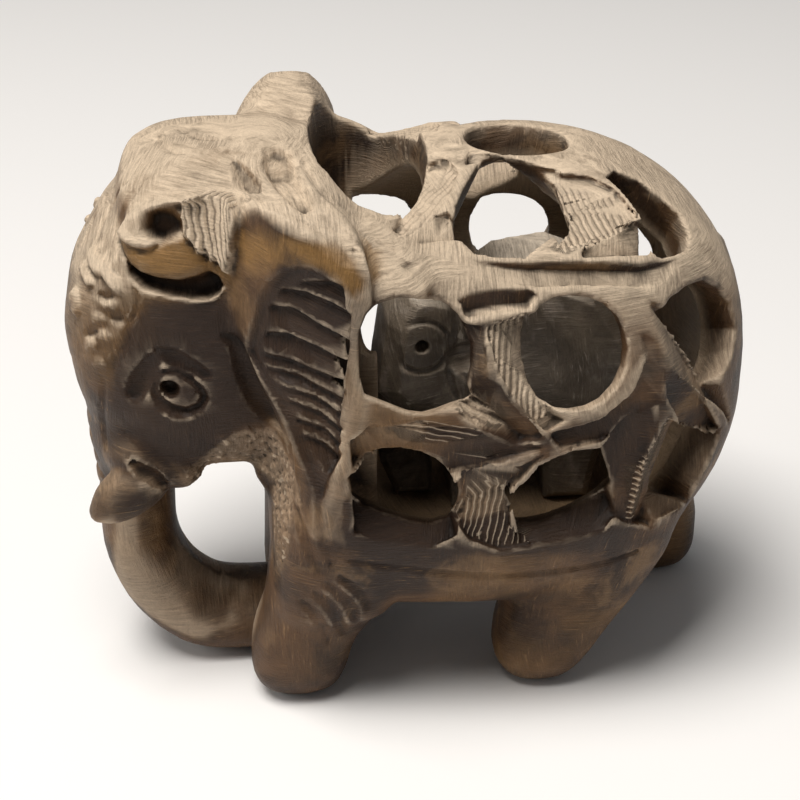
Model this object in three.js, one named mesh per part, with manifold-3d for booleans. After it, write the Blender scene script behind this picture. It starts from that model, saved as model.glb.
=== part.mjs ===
// Hollow soapstone elephant with a smaller elephant loose inside it.
// Millimetres, +Z up. The elephant faces -X and its left side is -Y. The origin is on the
// ground, below the middle of the outer box.
import * as THREE from 'three';
import { mergeVertices } from 'three/addons/utils/BufferGeometryUtils.js';
import Module from 'manifold-3d';

// Overall size of the outer carving
const LENGTH = 95;
const WIDTH = 61;
const HEIGHT = 78;

// Walls and fits
const WALL = 5.5;
const BELLY_THICKNESS = 11.5;
const SHOULDER_WALL = 5;
const REST_GAP = 0.3;
const HEAD_ROOM = 10.5;
const SIDE_ROOM = 15.5;
const FRONT_ROOM = 1.2;
const REAR_ROOM = 8.4;

// Carved lines
const EAR_RECESS = 1.8;
const EAR_RIB_PITCH = 4.2;
const EYE_LENGTH = 7.6;
const NOTCH_DEPTH = 0.8;
const RING_GROOVE = 0.9;

// Facets
const BODY_SIDES = 26;
const LIMB_SIDES = 12;
const WINDOW_SIDES = 12;

// The carving was measured on a block of 95 x 61 x 78, and follows the overall size.
const STRETCH = new THREE.Vector3(LENGTH / 95, WIDTH / 61, HEIGHT / 78);

const wasm = await Module();
wasm.setup();

const at = (x, y, z) => new THREE.Vector3(x, y, z).multiply(STRETCH);
const mirrored = (p) => new THREE.Vector3(p.x, -p.y, p.z);

// Turns a closed geometry with merged vertices into a solid, faces outward.
function solid(geometry) {
  const bare = geometry.clone();
  bare.deleteAttribute('normal');
  bare.deleteAttribute('uv');
  const merged = mergeVertices(bare, 1e-4);
  const vertProperties = new Float32Array(merged.attributes.position.array);
  const triVerts = new Uint32Array(merged.index.array);
  if (signedVolume(vertProperties, triVerts) < 0) {
    for (let i = 0; i < triVerts.length; i += 3) {
      [triVerts[i], triVerts[i + 1]] = [triVerts[i + 1], triVerts[i]];
    }
  }
  return new wasm.Manifold(new wasm.Mesh({ numProp: 3, vertProperties, triVerts }));
}

function signedVolume(vertices, triangles) {
  const [a, b, c] = [new THREE.Vector3(), new THREE.Vector3(), new THREE.Vector3()];
  let volume = 0;
  for (let i = 0; i < triangles.length; i += 3) {
    a.fromArray(vertices, 3 * triangles[i]);
    b.fromArray(vertices, 3 * triangles[i + 1]);
    c.fromArray(vertices, 3 * triangles[i + 2]);
    volume += a.dot(b.cross(c)) / 6;
  }
  return volume;
}

// A closed skin over rings of equally many points, with a fan over each end.
function loft(rings) {
  const sides = rings[0].length;
  const points = rings.flat();
  const faces = [];
  for (let r = 0; r + 1 < rings.length; r += 1) {
    for (let s = 0; s < sides; s += 1) {
      const a = r * sides + s;
      const b = r * sides + ((s + 1) % sides);
      faces.push(a, b, b + sides, a, b + sides, a + sides);
    }
  }
  const last = (rings.length - 1) * sides;
  const first = points.length;
  points.push(middle(rings[0]), middle(rings[rings.length - 1]));
  for (let s = 0; s < sides; s += 1) {
    faces.push(first, (s + 1) % sides, s);
    faces.push(first + 1, last + s, last + ((s + 1) % sides));
  }
  const geometry = new THREE.BufferGeometry().setFromPoints(points);
  geometry.setIndex(faces);
  return solid(geometry);
}

function middle(ring) {
  return ring.reduce((sum, p) => sum.add(p), new THREE.Vector3()).divideScalar(ring.length);
}

// A point of a superellipse: power 2 is an ellipse, and a higher power is squarer.
function superPoint(turn, power) {
  const c = Math.cos(turn);
  const s = Math.sin(turn);
  const bend = (v) => Math.sign(v) * Math.abs(v) ** (2 / power);
  return [bend(c), bend(s)];
}

// Level sections, each given as { z, x: [from, to], y: [from, to] }, joined into a solid.
function tower(rows, power = 2.6, sides = LIMB_SIDES) {
  return loft(rows.map(({ z, x, y }) => Array.from({ length: sides }, (_, i) => {
    const [c, s] = superPoint((i / sides) * 2 * Math.PI, power);
    return at(mix(x, c), mix(y, s), z);
  })));
}

const mix = ([from, to], share) => (from + to) / 2 + (share * (to - from)) / 2;

// A round or oval rod through the points. Each station is [x, y, z, half width, half height].
function sweep(stations, sides = LIMB_SIDES, side = new THREE.Vector3(0, 1, 0)) {
  const points = stations.map(([x, y, z]) => at(x, y, z));
  const rings = stations.map(([, , , wide, high], i) => {
    const before = points[Math.max(i - 1, 0)];
    const after = points[Math.min(i + 1, points.length - 1)];
    const along = after.clone().sub(before).normalize();
    const up = new THREE.Vector3().crossVectors(along, side).normalize();
    const across = new THREE.Vector3().crossVectors(up, along).normalize();
    return Array.from({ length: sides }, (_, k) => {
      const [c, s] = superPoint((k / sides) * 2 * Math.PI, 2.3);
      const thick = s * high * (STRETCH.x + STRETCH.z) / 2;
      return points[i].clone().addScaledVector(across, c * wide * STRETCH.y).addScaledVector(up, thick);
    });
  });
  return loft(rings);
}

// A flat plate: an outline in X and Z, from one Y to another.
function plate(outline, from, to) {
  const [fromY, toY] = [from * STRETCH.y, to * STRETCH.y];
  const shape = new THREE.Shape(outline.map(([x, z]) => new THREE.Vector2(x * STRETCH.x, z * STRETCH.z)));
  const depth = Math.abs(toY - fromY);
  const geometry = new THREE.ExtrudeGeometry(shape, { depth, bevelEnabled: false, curveSegments: 1 });
  geometry.rotateX(Math.PI / 2);
  geometry.translate(0, Math.max(fromY, toY), 0);
  return solid(geometry);
}

// A smooth closed outline through a few points.
function smoothOutline(points, count) {
  const curve = new THREE.CatmullRomCurve3(points.map(([x, z]) => new THREE.Vector3(x, 0, z)), true);
  return curve.getSpacedPoints(count).slice(0, count).map((p) => [p.x, p.z]);
}

function union(parts) {
  return parts.reduce((whole, part) => whole.add(part));
}

// Body barrel: half width, top and bottom at a place along it, drawn in by an inset.
const BARREL = { front: -12, widest: 10, end: 45.4, halfWidth: 29.7, top: 76.6, middle: 46, bottom: 12.5 };
const PLAN_POWER = 2.34;
const BACK_POWER = 2.41;
const BELLY_POWER = 1.75;
const UPPER_POWER = 2.5;
const LOWER_POWER = 2.9;

function barrelSection(x, inset = 0) {
  const end = BARREL.end * STRETCH.x - inset;
  const widest = BARREL.widest * STRETCH.x;
  const back = Math.min(1, Math.max(0, (x - widest) / (end - widest)));
  const ahead = Math.max(0, (widest - x) / (widest - BARREL.front * STRETCH.x));
  const round = (power) => (1 - back ** power) ** (1 / power);
  const middleZ = BARREL.middle * STRETCH.z;
  const top = (BARREL.top - 2 * ahead ** 2) * STRETCH.z - inset;
  const bottom = (BARREL.bottom + ahead ** 2) * STRETCH.z + inset;
  return {
    halfWidth: ((BARREL.halfWidth - 2 * ahead ** 2) * STRETCH.y - inset) * round(PLAN_POWER),
    upper: (top - middleZ) * round(BACK_POWER),
    lower: (middleZ - bottom) * round(BELLY_POWER),
    middleZ,
  };
}

// The floor cuts the section off level.
function barrel(from, inset, floor) {
  const end = BARREL.end * STRETCH.x - inset;
  const steps = [0, 0.2, 0.4, 0.57, 0.7, 0.8, 0.88, 0.94, 0.98, 0.999];
  const rings = steps.map((share) => {
    const x = from + share * (end - from);
    const { halfWidth, upper, lower, middleZ } = barrelSection(x, inset);
    return Array.from({ length: BODY_SIDES }, (_, i) => {
      const turn = (i / BODY_SIDES) * 2 * Math.PI;
      const [c, s] = superPoint(turn, Math.sin(turn) > 0 ? UPPER_POWER : LOWER_POWER);
      const z = middleZ + s * (s > 0 ? upper : lower);
      return new THREE.Vector3(x, c * halfWidth, Math.max(z, floor));
    });
  });
  return loft(rings);
}

const CAVITY_FLOOR = BARREL.bottom * STRETCH.z + BELLY_THICKNESS;
const CAVITY_TOP = BARREL.top * STRETCH.z - WALL;
const CAVITY_FRONT = BARREL.front * STRETCH.x + SHOULDER_WALL;
const CAVITY_BACK = BARREL.end * STRETCH.x - WALL;

// Windows of the left side: middle in X and Z, half length, half height, lean and squareness.
// Drop carries the outer edge of the bevel down. The right side is cut as their mirror image,
// with the changes under far.
const WINDOWS = [
  { name: 'upper_front', x: -2.7, z: 58.6, long: 6.7, high: 7.0, lean: 0, power: 2.5, drop: 0 },
  { name: 'upper_middle', x: 17.3, z: 57.3, long: 7.4, high: 7.4, lean: 0, power: 2.2, drop: 0 },
  { name: 'upper_rear', x: 35.2, z: 57.9, long: 7.0, high: 6.6, lean: -10, power: 2.2, drop: 0 },
  { name: 'lower_front', x: -4.8, z: 40.6, long: 6.7, high: 5.7, lean: 0, power: 2.3, drop: 2 },
  { name: 'lower_middle', x: 15.4, z: 39.0, long: 6.9, high: 5.3, lean: 10, power: 2.1, drop: 2 },
  { name: 'lower_rear', x: 33.2, z: 40.2, long: 5.6, high: 5.6, lean: -6, power: 2.3, drop: 1 },
  { name: 'back_middle', x: 10.0, z: 73.2, long: 6.4, high: 7.8, lean: 0, power: 2.2, drop: 0,
    far: { z: 70.2, high: 6 } },
  { name: 'back_rear', x: 29.2, z: 70.4, long: 4.7, high: 8.8, lean: 14, power: 2.1, drop: 0,
    far: { z: 67.4, high: 7.8 } },
];
const FLARE = 1.2;
const UNDERCUT = 1.2;
const INNER_REACH = 4;

// A window cutter: an oval hole through the wall whose outer edge is bevelled.
function windowCutter({ x, z, long, high, lean, power, drop }, side) {
  const along = x * STRETCH.x;
  const here = barrelSection(along);
  const lift = z * STRETCH.z - here.middleZ;
  const rise = lift > 0 ? here.upper : -here.lower;
  const squareness = lift > 0 ? UPPER_POWER : LOWER_POWER;
  const share = Math.min(1, lift / rise);
  const reach = (1 - share ** squareness) ** (1 / squareness);
  const place = new THREE.Vector3(along, -here.halfWidth * reach, z * STRETCH.z);
  const next = barrelSection(along + 1);
  const narrowing = reach * (here.halfWidth - next.halfWidth) + share * (here.upper - next.upper);
  const out = new THREE.Vector3(
    narrowing,
    -(reach ** (squareness - 1)),
    (share ** (squareness - 1)) * Math.sign(lift) * (here.halfWidth / Math.abs(rise)),
  ).normalize();
  const level = new THREE.Vector3(0, 0, 1).cross(out).normalize();
  const upward = new THREE.Vector3().crossVectors(out, level).normalize();
  const tilt = THREE.MathUtils.degToRad(lean);
  const u = level.clone().multiplyScalar(Math.cos(tilt)).addScaledVector(upward, Math.sin(tilt));
  const v = upward.clone().multiplyScalar(Math.cos(tilt)).addScaledVector(level, -Math.sin(tilt));
  const steps = [
    { depth: -WALL - INNER_REACH, grow: UNDERCUT, sink: drop },
    { depth: -0.2 * WALL, grow: 1, sink: drop / 2 },
    { depth: 1.6, grow: FLARE, sink: drop },
  ];
  const rings = steps.map(({ depth, grow, sink }) => Array.from({ length: WINDOW_SIDES }, (_, k) => {
    const [a, b] = superPoint((k / WINDOW_SIDES) * 2 * Math.PI, power);
    return place.clone().addScaledVector(out, depth)
      .addScaledVector(u, a * long * grow).addScaledVector(v, b * high * grow - sink);
  }));
  return side < 0 ? loft(rings) : loft(rings.map((ring) => ring.map(mirrored)));
}

const windowCutters = () => WINDOWS.flatMap((window) => [
  windowCutter(window, -1),
  windowCutter({ ...window, ...window.far }, 1),
]);

// The two openings cut from above, across the spine.
function spineCutters() {
  const shoulders = tower([
    { z: 58, x: [-13.2, 0.6], y: [-16, 20] },
    { z: 72, x: [-13.4, 0.8], y: [-16.4, 22] },
    { z: 86, x: [-15.2, 2.8], y: [-19, 27] },
  ], 2.2, WINDOW_SIDES);
  const saddle = tower([
    { z: 62, x: [7.6, 20], y: [-4.6, 6.8] },
    { z: 74, x: [7.4, 20.4], y: [-5, 7.4] },
    { z: 86, x: [4.2, 23.4], y: [-8, 10] },
  ], 2.2, WINDOW_SIDES);
  return [shoulders, saddle];
}

function head() {
  return tower([
    { z: 34.4, x: [-43, -9], y: [-9.4, 9.4] },
    { z: 36.4, x: [-44, -8.4], y: [-13, 13] },
    { z: 40.4, x: [-44.6, -8], y: [-15.4, 15.4] },
    { z: 46, x: [-46, -8], y: [-16.8, 16.8] },
    { z: 54, x: [-47.2, -8], y: [-17.4, 17.4] },
    { z: 62, x: [-45, -8], y: [-17.2, 17.2] },
    { z: 69, x: [-41.4, -8.5], y: [-16.4, 16.4] },
    { z: 72.4, x: [-39.4, -9], y: [-15.6, 15.6] },
    { z: 73, x: [-37, -9.5], y: [-14, 14] },
    { z: 73.8, x: [-38, -10], y: [-14.8, 14.8] },
    { z: 75.6, x: [-37.6, -11], y: [-13.4, 13.4] },
    { z: 76.8, x: [-35, -14], y: [-10.6, 10.6] },
    { z: 77.2, x: [-31, -18], y: [-7, 7] },
  ], 2.7, BODY_SIDES);
}

function trunk() {
  return sweep([
    [-36, 0, 52, 11.5, 11],
    [-38.4, 0, 42, 10.6, 8],
    [-39.3, 0, 34, 9.6, 6],
    [-39.8, 0, 26, 9, 5.4],
    [-39.2, 0, 18.6, 8.8, 5.5],
    [-36.6, 0, 12.4, 8.8, 5.6],
    [-32, 0, 8.2, 8.8, 5.7],
    [-26.4, 0, 6.6, 8.8, 5.7],
    [-18, 0, 6.6, 9, 5.6],
  ]);
}

// A leg from its sole up, on the left side: x spans by height, moved back by a shift.
function leg(spans, inner, outer) {
  const heights = [0, 1.2, 4.4, 10, 16, 24, 34];
  const spread = [[-4.6, 2.6], [-2.2, 1.4], [-0.4, 0.3], [0.6, 0], [2, -1], [4, -2], [5.4, -3]];
  return tower(heights.map((z, i) => ({ z, x: spans[i], y: [-outer - spread[i][0], -inner - spread[i][1]] })));
}

function legs() {
  const nearFront = leg([[-21.4, -14.2], [-23.6, -12.4], [-24.8, -11.2], [-24.4, -9.8], [-22.4, -5.6], [-21.4, -3],
    [-21, -3]], 7, 20.4);
  const farFront = mirrorSolid(leg([[-18.4, -11.2], [-20.6, -9.4], [-21.8, -8.2], [-21.6, -8], [-21.4, -7],
    [-21.2, -7], [-21, -7]], 7, 20.4));
  const nearRear = leg([[13.4, 19], [11.4, 21.4], [9.8, 23.6], [10.2, 26.6], [12.2, 30.2], [16, 34], [19, 35]], 7, 20.4);
  const farRear = mirrorSolid(leg([[36, 43], [34, 45.4], [32.8, 46.4], [32, 46.4], [30, 45], [26, 43], [22, 41.4]],
    8.6, 20.4));
  return [nearFront, farFront, nearRear, farRear];
}

// The ear: its outline from the side, its slanting plan, and the hollow with fanned ribs.
const EAR_OUTLINE = [[-25, 60], [-25.4, 70], [-23.4, 75.8], [-19.5, 77.7], [-14.5, 77.5], [-10.4, 74.6], [-8.2, 68],
  [-8.8, 59], [-9.6, 52], [-11.4, 44], [-13.6, 36], [-15.6, 33], [-17.4, 37], [-19.6, 46], [-23, 54]];
const EAR_PLAN = [[-27, -11], [-25.6, -17.6], [-20.5, -23.2], [-14.5, -27.8], [-10.4, -30.3], [-8, -29.4],
  [-7.6, -24], [-7.6, -11]];
const EAR_HOLLOW = [[-22, 61], [-22, 67.4], [-18.4, 70.8], [-14, 70.8], [-11.4, 66.4], [-11.2, 58],
  [-12.6, 49], [-14.8, 40.6], [-17, 45], [-19.6, 53.6]];
const EAR_RIB_TOP = 68;
const EAR_RIBS = 8;

function earBlock(inset) {
  const plan = smoothOutline(EAR_PLAN, 18);
  const centre = [-13, -14];
  const rows = [[31, 1], [71, 1], [76, 0.97], [79.5, 0.86]];
  return loft(rows.map(([z, share]) => plan.map(([x, y]) => {
    const p = at(centre[0] + (x - centre[0]) * share, centre[1] + (y - centre[1]) * share, z);
    return p.add(new THREE.Vector3(inset, inset, 0));
  })));
}

function ears() {
  const side = plate(smoothOutline(EAR_OUTLINE, 26), -34, -11);
  const leaf = side.intersect(earBlock(0));
  const hollow = plate(smoothOutline(EAR_HOLLOW, 16), -34, -14).subtract(earBlock(EAR_RECESS));
  const ribs = Array.from({ length: EAR_RIBS }, (_, i) => {
    const left = EAR_RIB_TOP - (i * EAR_RIB_PITCH) / STRETCH.z;
    const fall = 4 + 1.5 * i;
    const half = 0.24 * EAR_RIB_PITCH;
    return plate([[-23, left - half], [-10, left - fall - half], [-10, left - fall + half], [-23, left + half]],
      -34, -13);
  });
  const left = leaf.subtract(hollow.subtract(union(ribs)));
  return [left, mirrorSolid(left)];
}

// The headdress on one side of the head: curl, polished roll over a slot, and pointed tuft.
function headdress() {
  const curl = sweep([
    [-26, -14.4, 74, 1.2, 1.4], [-30, -15.4, 74.2, 1.5, 1.6], [-34.2, -14.8, 73.6, 1.7, 1.8],
    [-37.2, -13.4, 72.2, 1.8, 1.9], [-38, -13.4, 70.4, 1.7, 1.8], [-35.6, -15.4, 69.4, 1.4, 1.6], [-33.6, -16.4, 70.2, 0.8, 0.9],
  ], 8);
  const roll = sweep([
    [-39.4, -12.4, 69.4, 1.6, 1.6], [-36, -14.8, 68, 2.2, 2.2], [-32, -15.6, 67.3, 2.4, 2.3],
    [-28, -16, 67, 2.2, 2.1], [-24.6, -16, 67, 1.4, 1.4],
  ], 8);
  const tuft = plate([[-31.4, 74.4], [-27, 75.6], [-23.4, 75], [-23.4, 70], [-24.6, 65.2], [-25.8, 65.4], [-28.6, 68],
    [-31, 71.4]], -18.4, -12);
  const striae = Array.from({ length: 5 }, (_, i) => sweep([
    [-30.4 + 1.5 * i, -18.8, 77.5, 0.5, 0.5], [-27.6 + 0.7 * i, -18.8, 64, 0.5, 0.5],
  ], 4));
  return union([curl, roll, tuft.subtract(union(striae))]);
}

function slotCutter() {
  return sweep([
    [-41, -13.6, 66.6, 2.6, 1], [-37, -16.4, 65.2, 2.8, 1.3], [-32, -17.4, 63.9, 3, 1.5], [-28.4, -17.6, 63.2, 3, 1.6],
    [-26.6, -17.8, 63, 2.6, 1.1],
  ], 8);
}

// The forehead cloth with its scalloped edge.
function foreheadCloth() {
  const strip = sweep([
    [-38.8, 0, 72.6, 11.5, 1.6], [-41.9, 0, 66.8, 11, 1.6], [-44.7, 0, 60.4, 10.4, 1.6], [-46.3, 0, 54.4, 9.6, 1.6],
    [-45.8, 0, 49, 8, 1.4],
  ], 12);
  const beads = Array.from({ length: 5 }, (_, i) => {
    const bead = new THREE.SphereGeometry(1.7, 6, 5);
    const place = at(-41.8 - 1.1 * i + 0.12 * i * i, -12.2 + 0.5 * i, 67 - 4 * i);
    bead.scale(STRETCH.x, STRETCH.y, STRETCH.z);
    bead.translate(place.x, place.y, place.z);
    return solid(bead);
  });
  return [strip, ...beads, ...beads.map(mirrorSolid)];
}

function eyeball() {
  const ball = new THREE.SphereGeometry(1, 10, 8);
  ball.scale(EYE_LENGTH / 2, 1.5 * STRETCH.y, EYE_LENGTH / 3);
  ball.rotateY(THREE.MathUtils.degToRad(14));
  const place = at(-32.4, -16.6, 49.3);
  ball.translate(place.x, place.y, place.z);
  return solid(ball);
}

// Grooves of one side of the face: pupil, brow, lower lid and mouth.
function faceCutters() {
  const pupil = new THREE.CylinderGeometry(1.1, 0.8, 3, 10);
  const place = at(-33.6, -18, 49.7);
  pupil.translate(place.x, place.y, place.z);
  const brow = sweep([
    [-40.6, -15.6, 49, 0.6, 0.6], [-38.6, -17, 51.6, 1, 1.2], [-36, -17.6, 54.4, 1.2, 1.5], [-32, -17.8, 53.6, 1.1, 1.4],
    [-28.4, -17.9, 51.6, 0.8, 0.8],
  ], 6);
  const lid = sweep([
    [-37.4, -16.6, 49.2, 0.7, 0.8], [-35.4, -17.2, 47, 0.9, 1], [-32.4, -17.4, 45.6, 0.9, 1], [-29, -17.7, 46.4, 0.6, 0.6],
  ], 6);
  const mouth = sweep([
    [-40.6, -13.6, 42.4, 0.6, 0.8], [-37.4, -15, 39.4, 1.2, 1.6], [-34.6, -15, 36.4, 1.4, 2], [-32.4, -15.2, 34.8, 1, 1.2],
  ], 6);
  return [pupil, brow, lid, mouth].map((cut) => (cut.isBufferGeometry ? solid(cut) : cut));
}

function tusk() {
  return sweep([
    [-34.6, -10.8, 35.6, 2, 2], [-37.6, -11.6, 34.2, 3.2, 3.2], [-40.6, -12, 32.4, 3.5, 3.5], [-43, -12, 30.6, 2.6, 2.7],
    [-44.7, -11.8, 29.4, 1, 1.1],
  ], 9);
}

// Cross notches down the front of the trunk.
function trunkNotches() {
  return Array.from({ length: 9 }, (_, i) => {
    const z = 46 - 3.4 * i;
    const front = -46.6 + 0.42 * i * (i < 4 ? 1 : 0.6);
    const bar = new THREE.BoxGeometry(2 * NOTCH_DEPTH, 26 * STRETCH.y, 0.7);
    bar.rotateY(THREE.MathUtils.degToRad(20));
    const place = at(front, 0, z);
    bar.translate(place.x, 0, place.z);
    return solid(bar);
  });
}

function tail() {
  return sweep([
    [41.6, 0, 60, 2, 1.4], [44.2, 0, 53, 2.2, 1.5], [45.2, 0, 46, 2.2, 1.5], [44.4, 0, 38, 2, 1.5],
    [42, 0, 31, 1.8, 1.5], [38.6, 0, 25, 1.4, 1.4],
  ], 8);
}

function mirrorSolid(part) {
  const mesh = part.getMesh();
  const points = [];
  for (let i = 0; i < mesh.vertProperties.length; i += mesh.numProp) {
    points.push(new THREE.Vector3().fromArray(mesh.vertProperties, i).multiply(new THREE.Vector3(1, -1, 1)));
  }
  const geometry = new THREE.BufferGeometry().setFromPoints(points);
  geometry.setIndex(Array.from(mesh.triVerts));
  return solid(geometry);
}

function outerElephant() {
  const body = barrel(BARREL.front * STRETCH.x, 0, 0);
  const cavity = barrel(CAVITY_FRONT, WALL, CAVITY_FLOOR);
  const bothSides = (parts) => parts.flatMap((part) => [part, mirrorSolid(part)]);
  const headMass = union([head(), ...foreheadCloth(), trunk()]).subtract(union(trunkNotches()));
  const carvedHead = union([headMass, ...bothSides([headdress()])])
    .subtract(union(bothSides([slotCutter(), ...faceCutters()])));
  const face = union(bothSides([eyeball().subtract(faceCutters()[0]), tusk()]));
  const whole = union([body, carvedHead, face, tail(), ...legs(), ...ears()]);
  const cuts = [cavity, ...windowCutters(), ...spineCutters()];
  return whole.subtract(union(cuts));
}

// The inner elephant is blocked out on its own length, width and height.
const INNER_LENGTH = CAVITY_BACK - CAVITY_FRONT - FRONT_ROOM - REAR_ROOM;
const INNER_HEIGHT = CAVITY_TOP - CAVITY_FLOOR - HEAD_ROOM;
const INNER_WIDTH = 2 * (BARREL.halfWidth * STRETCH.y - WALL - SIDE_ROOM);

// A block with bevelled sides: the outline is drawn in at both faces.
function bevelledBlock(outline, width, bevel) {
  const start = CAVITY_FRONT + FRONT_ROOM;
  const floor = CAVITY_FLOOR + REST_GAP;
  const half = (width * INNER_WIDTH) / 2;
  const centre = outline.reduce((sum, [x, z]) => [sum[0] + x / outline.length, sum[1] + z / outline.length], [0, 0]);
  const ring = (y, share) => outline.map(([x, z]) => new THREE.Vector3(
    start + (centre[0] + (x - centre[0]) * share) * INNER_LENGTH,
    y,
    floor + (z === 0 ? 0 : centre[1] + (z - centre[1]) * share) * INNER_HEIGHT,
  ));
  return loft([ring(-half, 1 - bevel), ring(-half * 0.72, 1), ring(half * 0.72, 1), ring(half, 1 - bevel)]);
}

function innerElephant() {
  const torso = bevelledBlock([[0.26, 0.3], [0.3, 0.84], [0.46, 0.97], [0.66, 1], [0.84, 0.92], [1, 0.66], [0.98, 0.5],
    [0.86, 0.3]], 1, 0.14);
  const headBlock = bevelledBlock([[0, 0.5], [0.04, 0.78], [0.09, 0.92], [0.18, 0.95], [0.34, 0.91], [0.4, 0.68],
    [0.38, 0.4], [0.1, 0.4]], 0.96, 0.16);
  const trunkBlock = bevelledBlock([[0.01, 0.52], [0.12, 0.48], [0.13, 0.22], [0.22, 0.14], [0.22, 0], [0.08, 0],
    [0.02, 0.14]], 0.36, 0.1);
  const frontLegs = bevelledBlock([[0.28, 0], [0.46, 0], [0.48, 0.4], [0.27, 0.4]], 0.94, 0.08);
  const rearLegs = bevelledBlock([[0.64, 0], [0.81, 0], [0.89, 0.4], [0.62, 0.4]], 0.82, 0.08);
  const whole = union([torso, headBlock, trunkBlock, frontLegs, rearLegs]);
  return whole.subtract(union(innerEyes()));
}

// A ring and a dot on each cheek.
function innerEyes() {
  const place = new THREE.Vector3(
    CAVITY_FRONT + FRONT_ROOM + 0.16 * INNER_LENGTH,
    -0.48 * INNER_WIDTH,
    CAVITY_FLOOR + REST_GAP + 0.71 * INNER_HEIGHT,
  );
  const ring = new THREE.TorusGeometry(0.105 * INNER_HEIGHT, RING_GROOVE / 2, 4, 14);
  const dot = new THREE.CylinderGeometry(RING_GROOVE, RING_GROOVE, 2 * RING_GROOVE, 10);
  ring.rotateX(Math.PI / 2);
  return [ring, dot].flatMap((cut) => {
    cut.translate(place.x, place.y, place.z);
    return [solid(cut), mirrorSolid(solid(cut))];
  });
}

// The outer box is centred on the origin in plan.
const BOX_MIDDLE = -0.6;

function meshOf(name, part, material) {
  const mesh = part.getMesh();
  const geometry = new THREE.BufferGeometry();
  const points = [];
  for (let i = 0; i < mesh.vertProperties.length; i += mesh.numProp) {
    points.push(new THREE.Vector3().fromArray(mesh.vertProperties, i));
  }
  geometry.setFromPoints(points);
  geometry.setIndex(Array.from(mesh.triVerts));
  geometry.computeVertexNormals();
  const result = new THREE.Mesh(geometry, material);
  result.position.x = -BOX_MIDDLE * STRETCH.x;
  result.name = name;
  return result;
}

const outerStone = new THREE.MeshStandardMaterial({ color: 0x9a8468, roughness: 0.62, metalness: 0 });
const innerStone = new THREE.MeshStandardMaterial({ color: 0x7d7166, roughness: 0.7, metalness: 0 });

const elephant = new THREE.Group();
elephant.name = 'soapstone_elephant';
elephant.add(meshOf('outer_elephant', outerElephant(), outerStone));
elephant.add(meshOf('inner_elephant', innerElephant(), innerStone));

export default elephant;
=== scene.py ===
"""Hollow soapstone elephant with a smaller elephant loose inside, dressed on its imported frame.

The stone is carved on a grid of distances, in millimetres, with the same forms as the solids:
roughed out, hollowed, pierced by windows, then chiselled, grooved and scraped.
"""
from __future__ import annotations

import logging
import math
from collections.abc import Callable, Sequence
from dataclasses import dataclass
from enum import Enum

import bmesh
import bpy
import numpy as np
from mathutils import Matrix, Vector

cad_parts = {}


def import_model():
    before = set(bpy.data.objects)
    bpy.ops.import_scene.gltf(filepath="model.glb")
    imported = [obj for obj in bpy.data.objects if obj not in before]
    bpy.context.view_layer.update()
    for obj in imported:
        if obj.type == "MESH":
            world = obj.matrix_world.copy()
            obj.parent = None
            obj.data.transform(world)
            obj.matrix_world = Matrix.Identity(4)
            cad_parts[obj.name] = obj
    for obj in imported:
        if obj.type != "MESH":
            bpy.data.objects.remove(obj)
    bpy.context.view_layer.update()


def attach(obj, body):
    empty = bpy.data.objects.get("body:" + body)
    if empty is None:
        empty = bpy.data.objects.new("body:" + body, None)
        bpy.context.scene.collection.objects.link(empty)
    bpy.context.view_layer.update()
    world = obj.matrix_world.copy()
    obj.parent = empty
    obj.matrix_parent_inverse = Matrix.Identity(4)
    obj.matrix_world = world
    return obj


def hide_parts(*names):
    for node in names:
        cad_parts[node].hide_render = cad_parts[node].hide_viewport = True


logging.basicConfig(level=logging.INFO, format="%(name)s: %(message)s")

log = logging.getLogger("soapstone_elephant")

Array = np.ndarray
Point = tuple[float, float, float]
Flat = tuple[float, float]
Shape = Callable[[Array, Array, Array], Array]
Box = tuple[Array, Array]
Step = tuple[str, str, dict, dict]

FAR = 6.0  # distances beyond this many millimetres are not kept
ROOM = 7.0  # how many millimetres over its plane a chisel cut reaches


def super_radius(a: Array, b: Array, power: Array | float) -> Array:
    """Radius of a superellipse of half size one: power 2 is round, higher is squarer."""
    return (np.abs(a) ** power + np.abs(b) ** power + 1e-9) ** (1.0 / power)


def true_distance(values: Array, step: float) -> Array:
    """Turns a field that is zero on a surface into millimetres from it.

    Args:
        values: The field on a grid.
        step: The grid's spacing in millimetres.

    Returns:
        The field divided by its own slope.
    """
    slopes = np.gradient(values, step)
    length = np.sqrt(sum(s * s for s in slopes))
    return np.clip(values / np.maximum(length, 1e-4), -FAR, FAR).astype(np.float32)


def smooth_min(a: Array, b: Array, blend: float) -> Array:
    """The lower of two fields, with a fillet of about the blend in millimetres.

    Args:
        a: One field.
        b: The other field.
        blend: Size of the fillet.

    Returns:
        The joined field.
    """
    if blend <= 0.0:
        return np.minimum(a, b)
    overlap = np.maximum(blend - np.abs(a - b), 0.0)
    return np.minimum(a, b) - overlap * overlap * (0.25 / blend)


def smooth_step(values: Array) -> Array:
    """Zero below 0, one above 1, smooth between."""
    t = np.clip(values, 0.0, 1.0)
    return t * t * (3.0 - 2.0 * t)


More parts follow.
